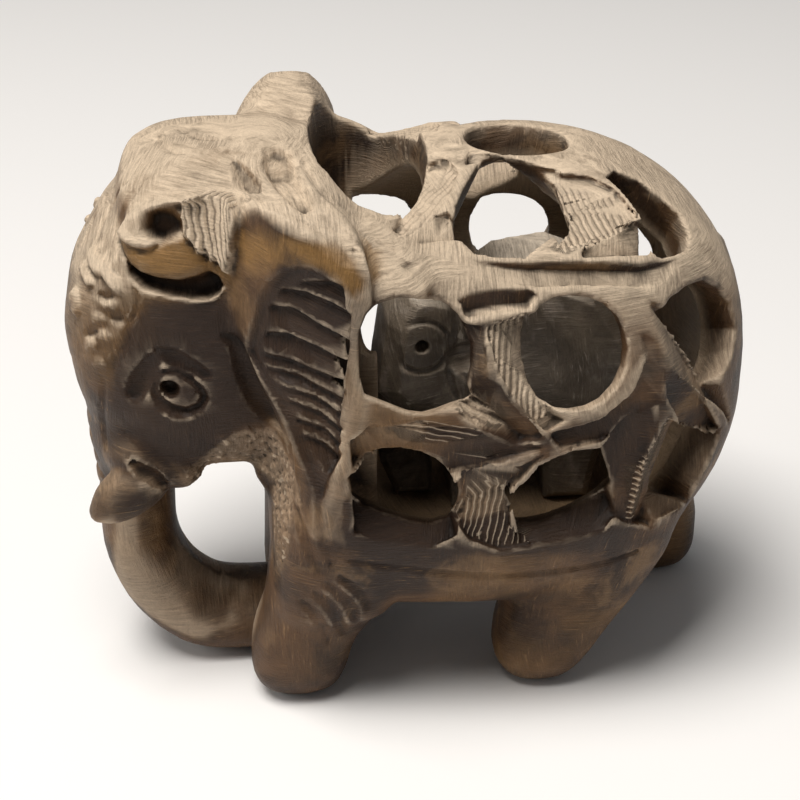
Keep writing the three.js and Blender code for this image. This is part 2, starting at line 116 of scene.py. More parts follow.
def polygon_distance(u: Array, v: Array, outline: Sequence[Flat]) -> Array:
    """Distance from a closed outline in a plane, negative inside.

    Args:
        u: First coordinates of the points.
        v: Second coordinates of the points.
        outline: The corners in order.

    Returns:
        One distance for each point.
    """
    corners = np.asarray(outline, dtype=np.float32)
    nearest = np.full(np.broadcast(u, v).shape, 1e9, dtype=np.float32)
    inside = np.zeros(nearest.shape, dtype=bool)
    for (au, av), (bu, bv) in zip(corners, np.roll(corners, -1, axis=0)):
        du, dv = bu - au, bv - av
        share = np.clip(((u - au) * du + (v - av) * dv) / max(du * du + dv * dv, 1e-9), 0.0, 1.0)
        nearest = np.minimum(nearest, (u - au - share * du) ** 2 + (v - av - share * dv) ** 2)
        if abs(dv) > 1e-9:
            crosses = (v >= min(av, bv)) & (v < max(av, bv))
            inside ^= crosses & (u < au + (v - av) * (du / dv))
    return np.where(inside, -1.0, 1.0).astype(np.float32) * np.sqrt(nearest)


def smooth_line(points: Sequence[Sequence[float]], count: int, closed: bool = False) -> Array:
    """A Catmull-Rom line through points.

    Args:
        points: The points, each of any number of values.
        count: How many points the result has.
        closed: Whether the line comes back to its start.

    Returns:
        The points of the line as rows.
    """
    given = np.asarray(points, dtype=float)
    total = len(given)
    spans = total if closed else total - 1
    places = np.linspace(0.0, spans, count, endpoint=not closed)
    rows = []
    for place in places:
        i = min(int(place), spans - 1)
        t = place - i
        if closed:
            p = [given[(i + k) % total] for k in (-1, 0, 1, 2)]
        else:
            p = [given[min(max(i + k, 0), total - 1)] for k in (-1, 0, 1, 2)]
        rows.append(0.5 * ((2 * p[1]) + (p[2] - p[0]) * t + (2 * p[0] - 5 * p[1] + 4 * p[2] - p[3]) * t**2
                           + (3 * p[1] - p[0] - 3 * p[2] + p[3]) * t**3))
    return np.array(rows)


def flipped(points: Sequence[Sequence[float]]) -> list[tuple[float, ...]]:
    """The same points on the elephant's other side; values past the third are kept."""
    return [(p[0], -p[1], *p[2:]) for p in points]


def tenths(*values: int) -> tuple[Point, ...]:
    """Points from their coordinates in tenths of a millimetre, three for each point."""
    return tuple((values[i] / 10, values[i + 1] / 10, values[i + 2] / 10) for i in range(0, len(values), 3))


@dataclass(frozen=True)
class Patch:
    """An outline laid on the stone, with its own plane.

    Attributes:
        outline: The corners in millimetres, in order.
    """

    outline: Sequence[Point]

    def frame(self) -> tuple[Array, Array, Array, Array]:
        """Middle, two level directions and the outward direction of the plane.

        Returns:
            The four, as vectors.
        """
        corners = np.asarray(self.outline, dtype=float)
        middle = corners.mean(axis=0)
        _, _, turn = np.linalg.svd(corners - middle)
        away = middle - np.array([0.5 * middle[0], 0.0, 50.0])
        out = turn[2] * (1.0 if turn[2] @ away > 0 else -1.0)
        u = turn[0]
        return middle, u, np.cross(out, u), out

    def place(self, x: Array, y: Array, z: Array) -> tuple[Array, Array, Array]:
        """Distance to the outline seen along the normal, and height over the plane.

        Args:
            x: Places along X in millimetres.
            y: Places along Y.
            z: Places along Z.

        Returns:
            The distance, the first level coordinate and the height.
        """
        middle, u, v, out = self.frame()
        corners = np.asarray(self.outline, dtype=float) - middle
        flat = [(float(c @ u), float(c @ v)) for c in corners]
        dx, dy, dz = x - middle[0], y - middle[1], z - middle[2]
        pu = dx * u[0] + dy * u[1] + dz * u[2]
        pv = dx * v[0] + dy * v[1] + dz * v[2]
        height = dx * out[0] + dy * out[1] + dz * out[2]
        return polygon_distance(pu, pv, flat), pu, height

    def box(self, margin: float, depth: float = 0.0) -> Box:
        """Lowest and highest corners of the patch, grown by a margin and down to a depth.

        Args:
            margin: How much the box is grown, in millimetres.
            depth: How far it reaches behind the outline.

        Returns:
            The two corners.
        """
        _, _, _, out = self.frame()
        corners = np.asarray(self.outline, dtype=float)
        reach = np.vstack([corners, corners - depth * out])
        return reach.min(axis=0) - margin, reach.max(axis=0) + margin


class Clay:
    """A block of stone on a grid: millimetres from the surface, negative inside it."""

    def __init__(self, low: Point, high: Point, step: float) -> None:
        """Lays out the grid.

        Args:
            low: Lowest corner in millimetres.
            high: Highest corner in millimetres.
            step: Grid spacing in millimetres.
        """
        self.low = np.asarray(low, dtype=float)
        self.step = step
        counts = np.ceil((np.asarray(high) - self.low) / step).astype(int) + 1
        axes = [(self.low[i] + step * np.arange(counts[i])).astype(np.float32) for i in range(3)]
        self.x = axes[0][:, None, None]
        self.y = axes[1][None, :, None]
        self.z = axes[2][None, None, :]
        self.field = np.full(counts, FAR, dtype=np.float32)

    def window(self, box: Box | None) -> tuple[tuple[slice, ...], Array, Array, Array]:
        """The part of the grid inside a box, and its coordinates.

        Args:
            box: Lowest and highest corners, or None for the whole grid.

        Returns:
            The slices of the grid, and its coordinates along X, Y and Z.
        """
        if box is None:
            part = (slice(None),) * 3
        else:
            shape = self.field.shape
            first = np.floor((np.asarray(box[0]) - self.low) / self.step).astype(int)
            last = np.ceil((np.asarray(box[1]) - self.low) / self.step).astype(int) + 1
            part = tuple(slice(max(int(a), 0), max(min(int(b), n), 1)) for a, b, n in zip(first, last, shape))
        return part, self.x[part[0]], self.y[:, part[1]], self.z[:, :, part[2]]

    def add(self, shape: Shape, box: Box | None = None, blend: float = 0.0,
            scaled: bool = True) -> None:
        """Joins a form to the stone.

        Args:
            shape: Gives a field, negative inside the form.
            box: Corners of the part of the grid to work on.
            blend: Fillet in millimetres.
            scaled: Whether the field is turned into true millimetres first.
        """
        part, x, y, z = self.window(box)
        values = shape(x, y, z)
        if scaled:
            values = true_distance(np.broadcast_to(values, self.field[part].shape), self.step)
        self.field[part] = smooth_min(self.field[part], values, blend)

    def cut(self, shape: Shape, box: Box | None = None, blend: float = 0.0,
            scaled: bool = True) -> None:
        """Takes a form out of the stone.

        Args:
            shape: Gives a field, negative inside the form.
            box: Corners of the part of the grid to work on.
            blend: Fillet in millimetres.
            scaled: Whether the field is turned into true millimetres first.
        """
        part, x, y, z = self.window(box)
        values = shape(x, y, z)
        if scaled:
            values = true_distance(np.broadcast_to(values, self.field[part].shape), self.step)
        self.field[part] = -smooth_min(-self.field[part], values, blend)

    def raise_skin(self, lift: Shape, box: Box) -> None:
        """Moves the surface outwards by a lift in millimetres, or inwards where it is negative."""
        part, x, y, z = self.window(box)
        self.field[part] -= lift(x, y, z)

    def chisel(self, patch: Patch, blend: float = 0.25, edge: float = 0.0) -> None:
        """Cuts a flat facet: all that stands over the patch's plane inside its outline goes.

        Args:
            patch: The facet.
            blend: Rounding of its edges.
            edge: How far the cut reaches past its outline, in millimetres.
        """
        def shape(x: Array, y: Array, z: Array) -> Array:
            """The room over the facet."""
            across, _, height = patch.place(x, y, z)
            return np.maximum(np.maximum(across - edge, -height), height - ROOM)
        self.cut(shape, patch.box(ROOM + 0.5), blend, scaled=False)

    def relief(self, patch: Patch, lift: float, edge: float = 0.5, slab: float = 5.0) -> None:
        """Raises or sinks the surface inside an outline.

        Args:
            patch: Where.
            lift: Height in millimetres, negative to sink.
            edge: Width of the slope at the outline.
            slab: How far from the patch's plane the surface may be.
        """
        def amount(x: Array, y: Array, z: Array) -> Array:
            """The lift at each point."""
            across, _, height = patch.place(x, y, z)
            return lift * smooth_step(0.5 - across / edge) * smooth_step((slab - np.abs(height)) / 1.5)
        self.raise_skin(amount, patch.box(slab))

    def line(self, points: Sequence[Point], width: float, lift: float, taper: bool = True) -> None:
        """Cuts a groove along a line on the surface, or raises a ridge.

        Args:
            points: The line in millimetres, on the surface.
            width: Full width in millimetres.
            lift: Height in millimetres, negative for a groove.
            taper: Whether it narrows to nothing at its ends.
        """
        path = smooth_line(points, 4 * len(points) + 2)
        box = (path.min(axis=0) - width - 2.0, path.max(axis=0) + width + 2.0)

        def amount(x: Array, y: Array, z: Array) -> Array:
            """The lift at each point."""
            best = np.full(np.broadcast(x, y, z).shape, 1e9, dtype=np.float32)
            where = np.zeros_like(best)
            for i, (a, b) in enumerate(zip(path[:-1], path[1:])):
                d = b - a
                share = np.clip(((x - a[0]) * d[0] + (y - a[1]) * d[1] + (z - a[2]) * d[2])
                                / max(float(d @ d), 1e-6), 0.0, 1.0)
                gap = ((x - a[0] - share * d[0]) ** 2 + (y - a[1] - share * d[1]) ** 2
                       + (z - a[2] - share * d[2]) ** 2)
                closer = gap < best
                where = np.where(closer, (i + share) / (len(path) - 1), where)
                best = np.where(closer, gap, best)
            half = 0.5 * width
            if taper:
                half = half * np.sqrt(np.clip(4.0 * where * (1.0 - where), 0.0, 1.0)) + 0.05
            away = np.sqrt(best) / half
            return lift * np.clip(1.0 - away * away, 0.0, 1.0)
        self.raise_skin(amount, box)

    def front_at(self, y: float, z: float) -> float:
        """Where the stone begins along X at a place seen from the front.

        Args:
            y: The place across.
            z: The place's height.

        Returns:
            The coordinate along X.
        """
        row = self.field[:, int(round((y - self.low[1]) / self.step)), int(round((z - self.low[2]) / self.step))]
        first = int(np.argmax(row < 0.0))
        return float(self.low[0] + self.step * (first - row[first] / (row[first] - row[first - 1])))

    def mesh(self) -> tuple[Array, Array]:
        """The surface as quads, by surface nets.

        Returns:
            The points in millimetres, and four point numbers for each face.
        """
        f = self.field
        inside = f < 0.0
        shape = np.array(f.shape) - 1
        count = np.zeros(shape, dtype=np.uint8)
        for dx in (0, 1):
            for dy in (0, 1):
                for dz in (0, 1):
                    count += inside[dx:dx + shape[0], dy:dy + shape[1], dz:dz + shape[2]]
        cells = np.argwhere((count > 0) & (count < 8))
        number = np.full(shape, -1, dtype=np.int64)
        number[tuple(cells.T)] = np.arange(len(cells))
        total = np.zeros((len(cells), 3))
        hits = np.zeros(len(cells))
        corners = [(i, j, k) for i in (0, 1) for j in (0, 1) for k in (0, 1)]
        for a in corners:
            for axis in range(3):
                if a[axis]:
                    continue
                b = tuple(1 if i == axis else a[i] for i in range(3))
                fa = f[tuple((cells + a).T)]
                fb = f[tuple((cells + b).T)]
                crossed = (fa < 0.0) != (fb < 0.0)
                share = np.where(crossed, fa / np.where(crossed, fa - fb, 1.0), 0.0)
                spot = np.array(a, dtype=float)[None, :].repeat(len(cells), axis=0)
                spot[:, axis] += share
                total += spot * crossed[:, None]
                hits += crossed
        points = self.low + self.step * (cells + total / hits[:, None])
        faces = []
        for axis in range(3):
            lower = [slice(None)] * 3
            upper = [slice(None)] * 3
            lower[axis], upper[axis] = slice(0, -1), slice(1, None)
            first, second = inside[tuple(lower)], inside[tuple(upper)]
            u, v = [(1, 2), (2, 0), (0, 1)][axis]
            edges = np.argwhere(first != second)
            edges = edges[(edges[:, u] > 0) & (edges[:, v] > 0) & (edges[:, u] < f.shape[u] - 1)
                          & (edges[:, v] < f.shape[v] - 1)]
            outward = first[tuple(edges.T)]
            ring = []
            for du, dv in ((-1, -1), (0, -1), (0, 0), (-1, 0)):
                shifted = edges.copy()
                shifted[:, u] += du
                shifted[:, v] += dv
                ring.append(number[tuple(shifted.T)])
            quads = np.stack(ring, axis=1)
            faces.append(np.where(outward[:, None], quads, quads[:, ::-1]))
        return points, np.vstack(faces)


def tower(rows: Sequence[tuple[float, Flat, Flat]], power: float = 2.6, soften: float = 1.0) -> Shape:
    """A form given by level sections.

    Args:
        rows: Height, span along x and span along y of each section, from the lowest up.
        power: Squareness of the sections.
        soften: How much the creases between the rows are smoothed, in millimetres.

    Returns:
        The form's field.
    """
    heights = np.array([r[0] for r in rows])
    dense = np.arange(heights[0] - 4.0, heights[-1] + 4.0, 0.25)
    spread = np.exp(-0.5 * (np.arange(-12, 13) * 0.25 / max(soften, 0.1)) ** 2)
    spread /= spread.sum()

    def along(values: list[float]) -> Array:
        """One column of the rows, at every height, smoothed."""
        filled = np.interp(dense, heights, values)
        return np.convolve(np.pad(filled, 12, mode="edge"), spread, mode="valid")
    columns = [along([r[1 + i][j] for r in rows]) for i in (0, 1) for j in (0, 1)]

    def shape(x: Array, y: Array, z: Array) -> Array:
        """The field."""
        x0, x1, y0, y1 = (np.interp(z, dense, c).astype(np.float32) for c in columns)
        radius = super_radius((2 * x - x0 - x1) / (x1 - x0), (2 * y - y0 - y1) / (y1 - y0), power)
        side = (radius - 1.0) * 0.5 * np.minimum(x1 - x0, y1 - y0)
        ends = np.maximum(heights[0] - z, z - heights[-1])
        return -smooth_min(-side, -ends, 2.0)
    return shape


def rod(points: Sequence[tuple[float, ...]], flat: float = 1.0, count: int = 0) -> tuple[Shape, Box]:
    """A round form along a line, each point being x, y, z and radius.

    Args:
        points: The line.
        flat: Height of the section as a share of its width across y.
        count: How many points the smooth line has; 0 is four for each given one.

    Returns:
        The form's field and the corners of its box.
    """
    path = smooth_line(points, count or 4 * len(points))

    def shape(x: Array, y: Array, z: Array) -> Array:
        """The field."""
        best = np.full(np.broadcast(x, y, z).shape, 1e9, dtype=np.float32)
        for a, b in zip(path[:-1], path[1:]):
            d = (b - a)[:3] * np.array([1.0, flat, 1.0])
            px, py, pz = x - a[0], (y - a[1]) * flat, z - a[2]
            share = np.clip((px * d[0] + py * d[1] + pz * d[2]) / max(float(d @ d), 1e-6), 0.0, 1.0)
            gap = np.sqrt((px - share * d[0]) ** 2 + (py - share * d[1]) ** 2 + (pz - share * d[2]) ** 2)
            best = np.minimum(best, gap - (a[3] + share * (b[3] - a[3])) * flat)
        return best
    radius = path[:, 3].max() * max(1.0, flat) + 4.0
    return shape, (path[:, :3].min(axis=0) - radius, path[:, :3].max(axis=0) + radius)


def ball(middle: Point, radii: Point) -> tuple[Shape, Box]:
    """An oval ball: its field and the corners of its box.

    Args:
        middle: Its middle.
        radii: Its three radii.

    Returns:
        The field and the corners of its box.
    """
    def shape(x: Array, y: Array, z: Array) -> Array:
        """The field."""
        size = np.sqrt(((x - middle[0]) / radii[0]) ** 2 + ((y - middle[1]) / radii[1]) ** 2
                       + ((z - middle[2]) / radii[2]) ** 2)
        return (size - 1.0) * min(radii)
    spot, reach = np.asarray(middle), np.asarray(radii) + 3.0
    return shape, (spot - reach, spot + reach)


@dataclass(frozen=True)
class BodyForm:
    """The barrel of the body, in millimetres, on the grid that the carving was measured on.

    Attributes:
        front: Where it begins behind the head, along X.
        widest: Where it is widest, along X.
        end: Where the rump ends, along X.
        half_width: Half its width.
        top: Height of its back.
        middle: Height of its widest level.
        bottom: Height of its belly.
        wall: Thickness of the wall round the hollow.
        cavity_floor: Height of the hollow's floor.
        cavity_front: Where the hollow begins, along X.
        narrowing: How much narrower and lower it is at its front.
        square_above: Squareness of its sections over the middle.
        square_below: Their squareness under it.
        side_power: Roundness of the rump seen from above.
        back_power: Roundness of the rump where it meets the back.
        belly_power: Roundness of the rump where it meets the belly.
        reach: Millimetres that one unit of the form's radius stands for.
    """

    front: float = -12.0
    widest: float = 10.0
    end: float = 45.4
    half_width: float = 29.7
    top: float = 76.6
    middle: float = 46.0
    bottom: float = 12.5
    wall: float = 5.5
    cavity_floor: float = 24.0
    cavity_front: float = -7.0
    narrowing: float = 2.0
    square_above: float = 2.5
    square_below: float = 2.9
    side_power: float = 2.34
    back_power: float = 2.41
    belly_power: float = 1.75
    reach: float = 28.0

    def skin(self, x: Array, y: Array, z: Array, inset: float = 0.0) -> Array:
        """Field of the closed barrel, drawn in by an inset.

        Args:
            x: Places along X in millimetres.
            y: Places along Y.
            z: Places along Z.
            inset: How far the barrel is drawn in.

        Returns:
            The field, negative inside.
        """
        back = np.maximum((x - self.widest) / (self.end - inset - self.widest), 0.0)
        ahead = np.clip((self.widest - x) / (self.widest - self.front), 0.0, 1.4)
        half = self.half_width - self.narrowing * ahead**2 - inset
        above = z > self.middle
        tall = np.where(above, self.top - self.narrowing * ahead**2 - inset - self.middle,
                        self.middle - self.bottom - ahead**2 - inset)
        square = np.where(above, self.square_above, self.square_below)
        side = (np.abs(y) / half + 1e-5) ** square
        rise = (np.abs(z - self.middle) / tall + 1e-5) ** square
        share = rise / (side + rise)
        power = self.side_power + share * (np.where(above, self.back_power, self.belly_power) - self.side_power)
        radius = (side + rise) ** (power / square)
        return ((back**power + radius) ** (1.0 / power) - 1.0) * self.reach


BODY = BodyForm()

# Level sections, from the lowest up: height, span along X, span along Y
HEAD_ROWS = (
    (34.0, (-43.0, -9.0), (-8.0, 8.0)), (36.4, (-44.2, -8.4), (-12.6, 12.6)), (40.4, (-45.0, -8.0), (-15.4, 15.4)),
    (46.0, (-46.8, -8.0), (-17.0, 17.0)), (54.0, (-47.9, -8.0), (-17.6, 17.6)), (62.0, (-46.4, -8.0), (-17.3, 17.3)),
    (69.0, (-42.3, -8.5), (-16.4, 16.4)), (72.0, (-39.6, -9.0), (-15.6, 15.6)), (73.2, (-37.8, -9.5), (-14.6, 14.6)),
    (75.4, (-37.4, -11.0), (-13.4, 13.4)), (76.8, (-35.4, -14.0), (-10.6, 10.6)), (77.4, (-32.0, -18.0), (-7.0, 7.0)),
)
CAP_ROWS = (
    (68.6, (-38.6, -16.0), (-14.6, 15.2)), (70.6, (-39.4, -16.0), (-15.4, 16.0)), (73.0, (-39.5, -16.0), (-15.0, 15.8)),
    (75.2, (-38.8, -16.0), (-14.0, 15.2)), (76.6, (-36.8, -16.0), (-11.8, 13.6)), (78.0, (-32.8, -17.0), (-8.6, 10.0)),
)
CHEST_ROWS = (
    (13.0, (-17.0, -5.0), (-15.0, 15.0)), (18.0, (-20.6, -5.0), (-21.0, 21.0)), (30.0, (-21.6, -5.0), (-23.4, 23.4)),
    (44.0, (-21.4, -5.0), (-24.2, 24.2)), (56.0, (-20.5, -6.0), (-24.0, 24.0)), (66.0, (-18.0, -8.0), (-21.0, 21.0)),
)
NECK_ROWS = (
    (58.0, (-26.0, -6.0), (-20.0, 20.0)), (66.0, (-26.0, -6.0), (-24.0, 24.0)), (71.0, (-25.0, -7.0), (-23.0, 23.0)),
    (75.0, (-24.0, -9.0), (-18.0, 18.0)), (77.2, (-22.0, -11.0), (-9.0, 9.0)),
)
EAR_BACK_ROWS = (
    (16.0, (-20.4, -6.0), (-23.4, -13.0)), (24.0, (-20.8, -4.0), (-25.8, -13.0)), (32.0, (-20.2, -2.0), (-27.6, -14.0)),
    (42.0, (-16.4, -1.0), (-29.0, -14.0)), (54.0, (-13.0, -1.0), (-29.9, -14.0)), (64.0, (-12.4, -2.0), (-29.2, -14.0)),
    (66.5, (-12.6, 0.6), (-27.4, -14.0)), (69.5, (-13.0, -1.4), (-25.0, -14.0)), (72.0, (-13.4, -4.6), (-22.6, -14.0)),
    (74.0, (-13.8, -7.4), (-20.2, -14.0)),
)
SHOULDER_OPENING = (
    (58.0, (-13.2, 0.6), (-16.0, 18.0)), (72.0, (-13.4, 0.8), (-16.4, 18.6)), (86.0, (-15.2, 2.8), (-19.0, 21.0)),
)
SADDLE_OPENING = (
    (62.0, (7.6, 20.0), (-4.6, 6.8)), (74.0, (7.4, 20.4), (-5.0, 7.4)), (86.0, (4.2, 23.4), (-8.0, 10.0)),
)

# Rods: X, Y, Z and radius
TRUNK_LINE = (
    (-36.6, 0.0, 52.0, 11.0), (-39.0, 0.0, 42.0, 9.6), (-39.8, 0.0, 34.0, 8.8), (-39.8, 0.0, 26.0, 8.3),
    (-39.6, 0.0, 18.4, 8.4), (-37.0, 0.0, 11.6, 8.5), (-32.0, 0.0, 6.7, 8.5), (-26.6, 0.0, 5.4, 8.2),
    (-18.0, 0.0, 5.3, 8.0),
)
OPENING_CORNERS = (
    ((-33.4, -10.5, 35.6, 3.4), (-33.4, 0.0, 35.6, 3.4), (-33.4, 10.5, 35.6, 3.4)),
    ((-20.6, -12.5, 35.4, 2.6), (-20.6, 0.0, 35.4, 2.6), (-20.6, 12.5, 35.4, 2.6)),
)
JAW = ((-38.6, 0.0, 37.4), (6.2, 14.8, 6.4))
TUSK_LINE = ((-35.6, -10.6, 35.8, 2.4), (-38.6, -11.8, 33.8, 3.6), (-41.6, -12.2, 31.6, 3.3), (-44.2, -12.0, 29.6, 1.7))
TAIL_LINE = (
    (41.6, 0.0, 60.0, 1.8), (44.0, 0.0, 53.0, 1.9), (44.9, 0.0, 46.0, 1.9), (44.2, 0.0, 38.0, 1.8),
    (42.0, 0.0, 31.0, 1.6), (38.6, 0.0, 25.0, 1.3),
)

# Legs: height with the spread of the outer and inner face, then each leg's spans along X and its inner face
LEG_LEVELS = (
    (0.0, -4.6, 2.6), (1.2, -2.2, 1.4), (4.4, -0.4, 0.3), (10.0, 0.6, 0.0), (16.0, 2.0, -1.0), (24.0, 4.0, -2.0),
    (34.0, 5.4, -3.0),
)
LEG_SPANS = {
    False: (
        (((-21.4, -14.2), (-23.6, -12.4), (-24.8, -11.2), (-24.4, -9.8), (-22.4, -5.6), (-21.4, -3.0), (-21.0, -3.0)),
         7.0),
        (((13.4, 19.0), (11.4, 21.4), (9.8, 23.6), (10.2, 26.6), (12.2, 30.2), (16.0, 34.0), (19.0, 35.0)), 7.0),
    ),
    True: (
        (((-18.4, -11.2), (-20.6, -9.4), (-21.8, -8.2), (-21.6, -8.0), (-21.4, -7.0), (-21.2, -7.0), (-21.0, -7.0)),
         7.0),
        (((36.0, 43.0), (34.0, 45.4), (32.8, 46.4), (32.0, 46.4), (30.0, 45.0), (26.0, 43.0), (22.0, 41.4)), 8.6),
    ),
}

# The ear: the part of the block it is cut from, and its outlines from the side, from above and from the front
EAR_BOX = ((-30.0, -34.0, 29.0), (-3.0, -8.0, 82.0))
EAR_OUTLINE = (
    (-25.0, 60.0), (-25.4, 70.0), (-23.4, 75.8), (-19.5, 77.7), (-14.5, 77.5), (-10.4, 74.6), (-8.2, 68.0),
    (-8.8, 59.0), (-9.6, 52.0), (-11.4, 44.0), (-13.6, 36.0), (-15.6, 33.0), (-17.4, 37.0), (-19.6, 46.0),
    (-23.0, 54.0),
)
EAR_PLAN = (
    (-27.0, -11.0), (-25.6, -17.6), (-20.5, -23.2), (-14.5, -27.8), (-10.4, -30.3), (-8.0, -29.4), (-7.6, -24.0),
    (-7.6, -11.0),
)
EAR_FRONT = (
    (8.0, 28.0), (8.0, 76.4), (14.0, 77.9), (19.5, 77.8), (23.0, 76.6), (26.0, 74.2), (28.4, 71.0), (30.0, 67.0),
    (31.0, 60.0), (31.0, 28.0),
)
FAR_EAR_OUTLINE = (
    (-25.0, 60.0), (-25.2, 70.0), (-23.0, 75.6), (-19.8, 78.8), (-16.0, 80.1), (-12.8, 78.8), (-10.2, 75.4),
    (-8.4, 70.4), (-8.2, 64.0), (-8.8, 57.0), (-9.6, 51.0), (-11.4, 44.0), (-13.6, 36.0), (-15.6, 33.0),
    (-17.4, 37.0), (-19.6, 46.0), (-23.0, 54.0),
)
FAR_EAR_FRONT = (
    (8.0, 28.0), (8.0, 76.4), (13.0, 78.2), (18.5, 79.8), (22.5, 80.0), (26.0, 78.6), (28.4, 75.6), (30.0, 71.0),
    (31.0, 62.0), (31.0, 28.0),
)

# The inner elephant's blocks, as shares of its length and height, with width and bevel, and its carved lines
INNER_BLOCKS = (
    (((0.26, 0.3), (0.3, 0.84), (0.46, 0.97), (0.66, 1.0), (0.84, 0.92), (1.0, 0.66), (0.98, 0.5), (0.86, 0.3)),
     1.0, 3.2),
    (((0.0, 0.5), (0.04, 0.78), (0.09, 0.92), (0.18, 0.95), (0.34, 0.91), (0.4, 0.68), (0.38, 0.4), (0.1, 0.4)),
     0.96, 2.6),
    (((0.01, 0.52), (0.12, 0.48), (0.13, 0.22), (0.22, 0.14), (0.22, 0.0), (0.08, 0.0), (0.02, 0.14)), 0.36, 1.0),
    (((0.28, 0.0), (0.46, 0.0), (0.48, 0.4), (0.27, 0.4)), 0.94, 1.4),
    (((0.64, 0.0), (0.81, 0.0), (0.89, 0.4), (0.62, 0.4)), 0.82, 1.4),
)
INNER_LINES = (
    ((0.24, 0.93), (0.28, 0.8), (0.26, 0.6), (0.3, 0.46)), ((0.3, 0.6), (0.38, 0.52), (0.46, 0.42)),
    ((0.02, 0.5), (0.1, 0.46), (0.2, 0.47)),
)

# The dot of its eye, and its drilled hollows: place as shares of length and height, and radius
INNER_PUPIL_RADII = (0.95, 2.2, 0.95)
INNER_HOLLOWS = ((0.33, 0.66, 3.0), (0.27, 0.34, 3.2), (0.52, 0.32, 4.0), (0.6, 0.2, 3.0))

# The folds at the left corner of the mouth: line, width and lift
MOUTH_FOLDS = (
    (tenths(-408, -136, 426, -388, -152, 406, -366, -152, 386, -346, -148, 368, -330, -140, 354), 3.2, -1.9),
    (tenths(-396, -138, 384, -380, -142, 366, -366, -140, 352, -352, -132, 336), 2.4, -1.3),
)

# The way of the light through the front of the hollow: its start inside the left wall, its run and its half widths
LIGHT_START, LIGHT_RUN, LIGHT_RADII = (-7.8, -20.0, 58.9), (4.6, 51.0, -23.6), (1.8, 4.0, 3.7)

# Carved on the left side only
LEFT_ONLY = ("leaf_one", "leaf_two", "neck_band_one", "neck_band_two", "neck_band_three", "neck_groove", "cap_line",
             "cap_line_two")

# How far round the body the right side's cuts lie below the left side's, in degrees
SLIDES = {
    **dict.fromkeys(("tuft", "curl", "curl_hollow", "roll", "slot", "slot_lip", "ribbon_edge", "ribbon_mid", "crescent",
                     "saw_tuft", "back_middle"), 9.0),
    **dict.fromkeys(("paddle", "saw_paddle", "paddle_low", "ring_side"), 8.0),
    "back_rear": 7.0, "upper_rear": 6.0, "upper_front": 5.0, "upper_middle": 5.0,
}

# Windows of the left side: outlines on the skin
WINDOWS = {
    "upper_front": tenths(
        -68, -279, 658, -49, -276, 662, -17, -265, 654, 11, -257, 643, 26, -264, 632, 35, -271, 616, 46, -281, 592, 46,
        -288, 564, 41, -291, 542, 46, -293, 525, 23, -293, 519, 0, -291, 513, -19, -291, 509, -41, -296, 516, -61, -298,
        527, -79, -299, 536, -94, -303, 545, -99, -304, 568, -98, -303, 601, -96, -302, 627, -88, -299, 648, -78, -284,
        656),
    "upper_middle": tenths(
        110, -286, 578, 112, -279, 602, 119, -271, 621, 127, -263, 639, 146, -258, 646, 168, -256, 647, 191, -255, 643,
        211, -256, 634, 227, -259, 618, 236, -265, 598, 240, -270, 576, 237, -276, 553, 227, -282, 532, 210, -287, 515,
        191, -291, 507, 167, -293, 505, 148, -295, 509, 129, -294, 524, 116, -292, 547),
    "upper_rear": tenths(
        288, -240, 612, 312, -236, 591, 338, -230, 559, 360, -220, 524, 376, -209, 492, 386, -198, 499, 407, -170, 517,
        413, -153, 544, 404, -152, 580, 384, -164, 608, 359, -180, 626, 332, -204, 629, 304, -226, 624),
    "lower_front": tenths(
        -117, -295, 426, -106, -293, 430, -93, -293, 446, -74, -294, 454, -49, -294, 455, -23, -292, 448, -4, -292, 434,
        8, -293, 420, 21, -294, 406, 26, -293, 384, 23, -292, 363, 11, -288, 337, -10, -285, 331, -36, -284, 337, -60,
        -285, 346, -88, -286, 359, -107, -286, 377),
    "lower_middle": tenths(
        98, -294, 365, 93, -296, 382, 101, -296, 397, 114, -297, 408, 128, -297, 428, 149, -296, 439, 173, -294, 446,
        194, -291, 447, 209, -289, 444, 217, -287, 420, 225, -285, 399, 230, -282, 378, 226, -282, 367, 207, -285, 351,
        183, -287, 339, 157, -288, 329, 133, -289, 326, 111, -290, 329),
    "lower_rear": tenths(
        328, -246, 445, 318, -251, 420, 307, -255, 390, 301, -257, 370, 304, -253, 349, 324, -241, 332, 353, -202, 307,
        358, -208, 331, 374, -203, 361, 388, -193, 389, 393, -190, 408, 374, -210, 413),
    "back_middle": tenths(
        35, -158, 737, 46, -136, 747, 59, -109, 755, 84, -57, 764, 108, -56, 764, 132, -72, 762, 155, -90, 758, 169,
        -115, 752, 175, -150, 739, 177, -181, 723, 163, -197, 714, 143, -209, 706, 112, -227, 690, 81, -225, 692, 51,
        -220, 695, 32, -202, 710, 29, -183, 723),
    "back_rear": tenths(
        240, -99, 743, 257, -74, 743, 288, -81, 731, 314, -101, 713, 336, -114, 695, 343, -140, 677, 337, -165, 667,
        316, -184, 667, 291, -199, 670, 281, -193, 682, 281, -176, 696, 275, -157, 710, 263, -133, 726, 252, -114, 736),
}

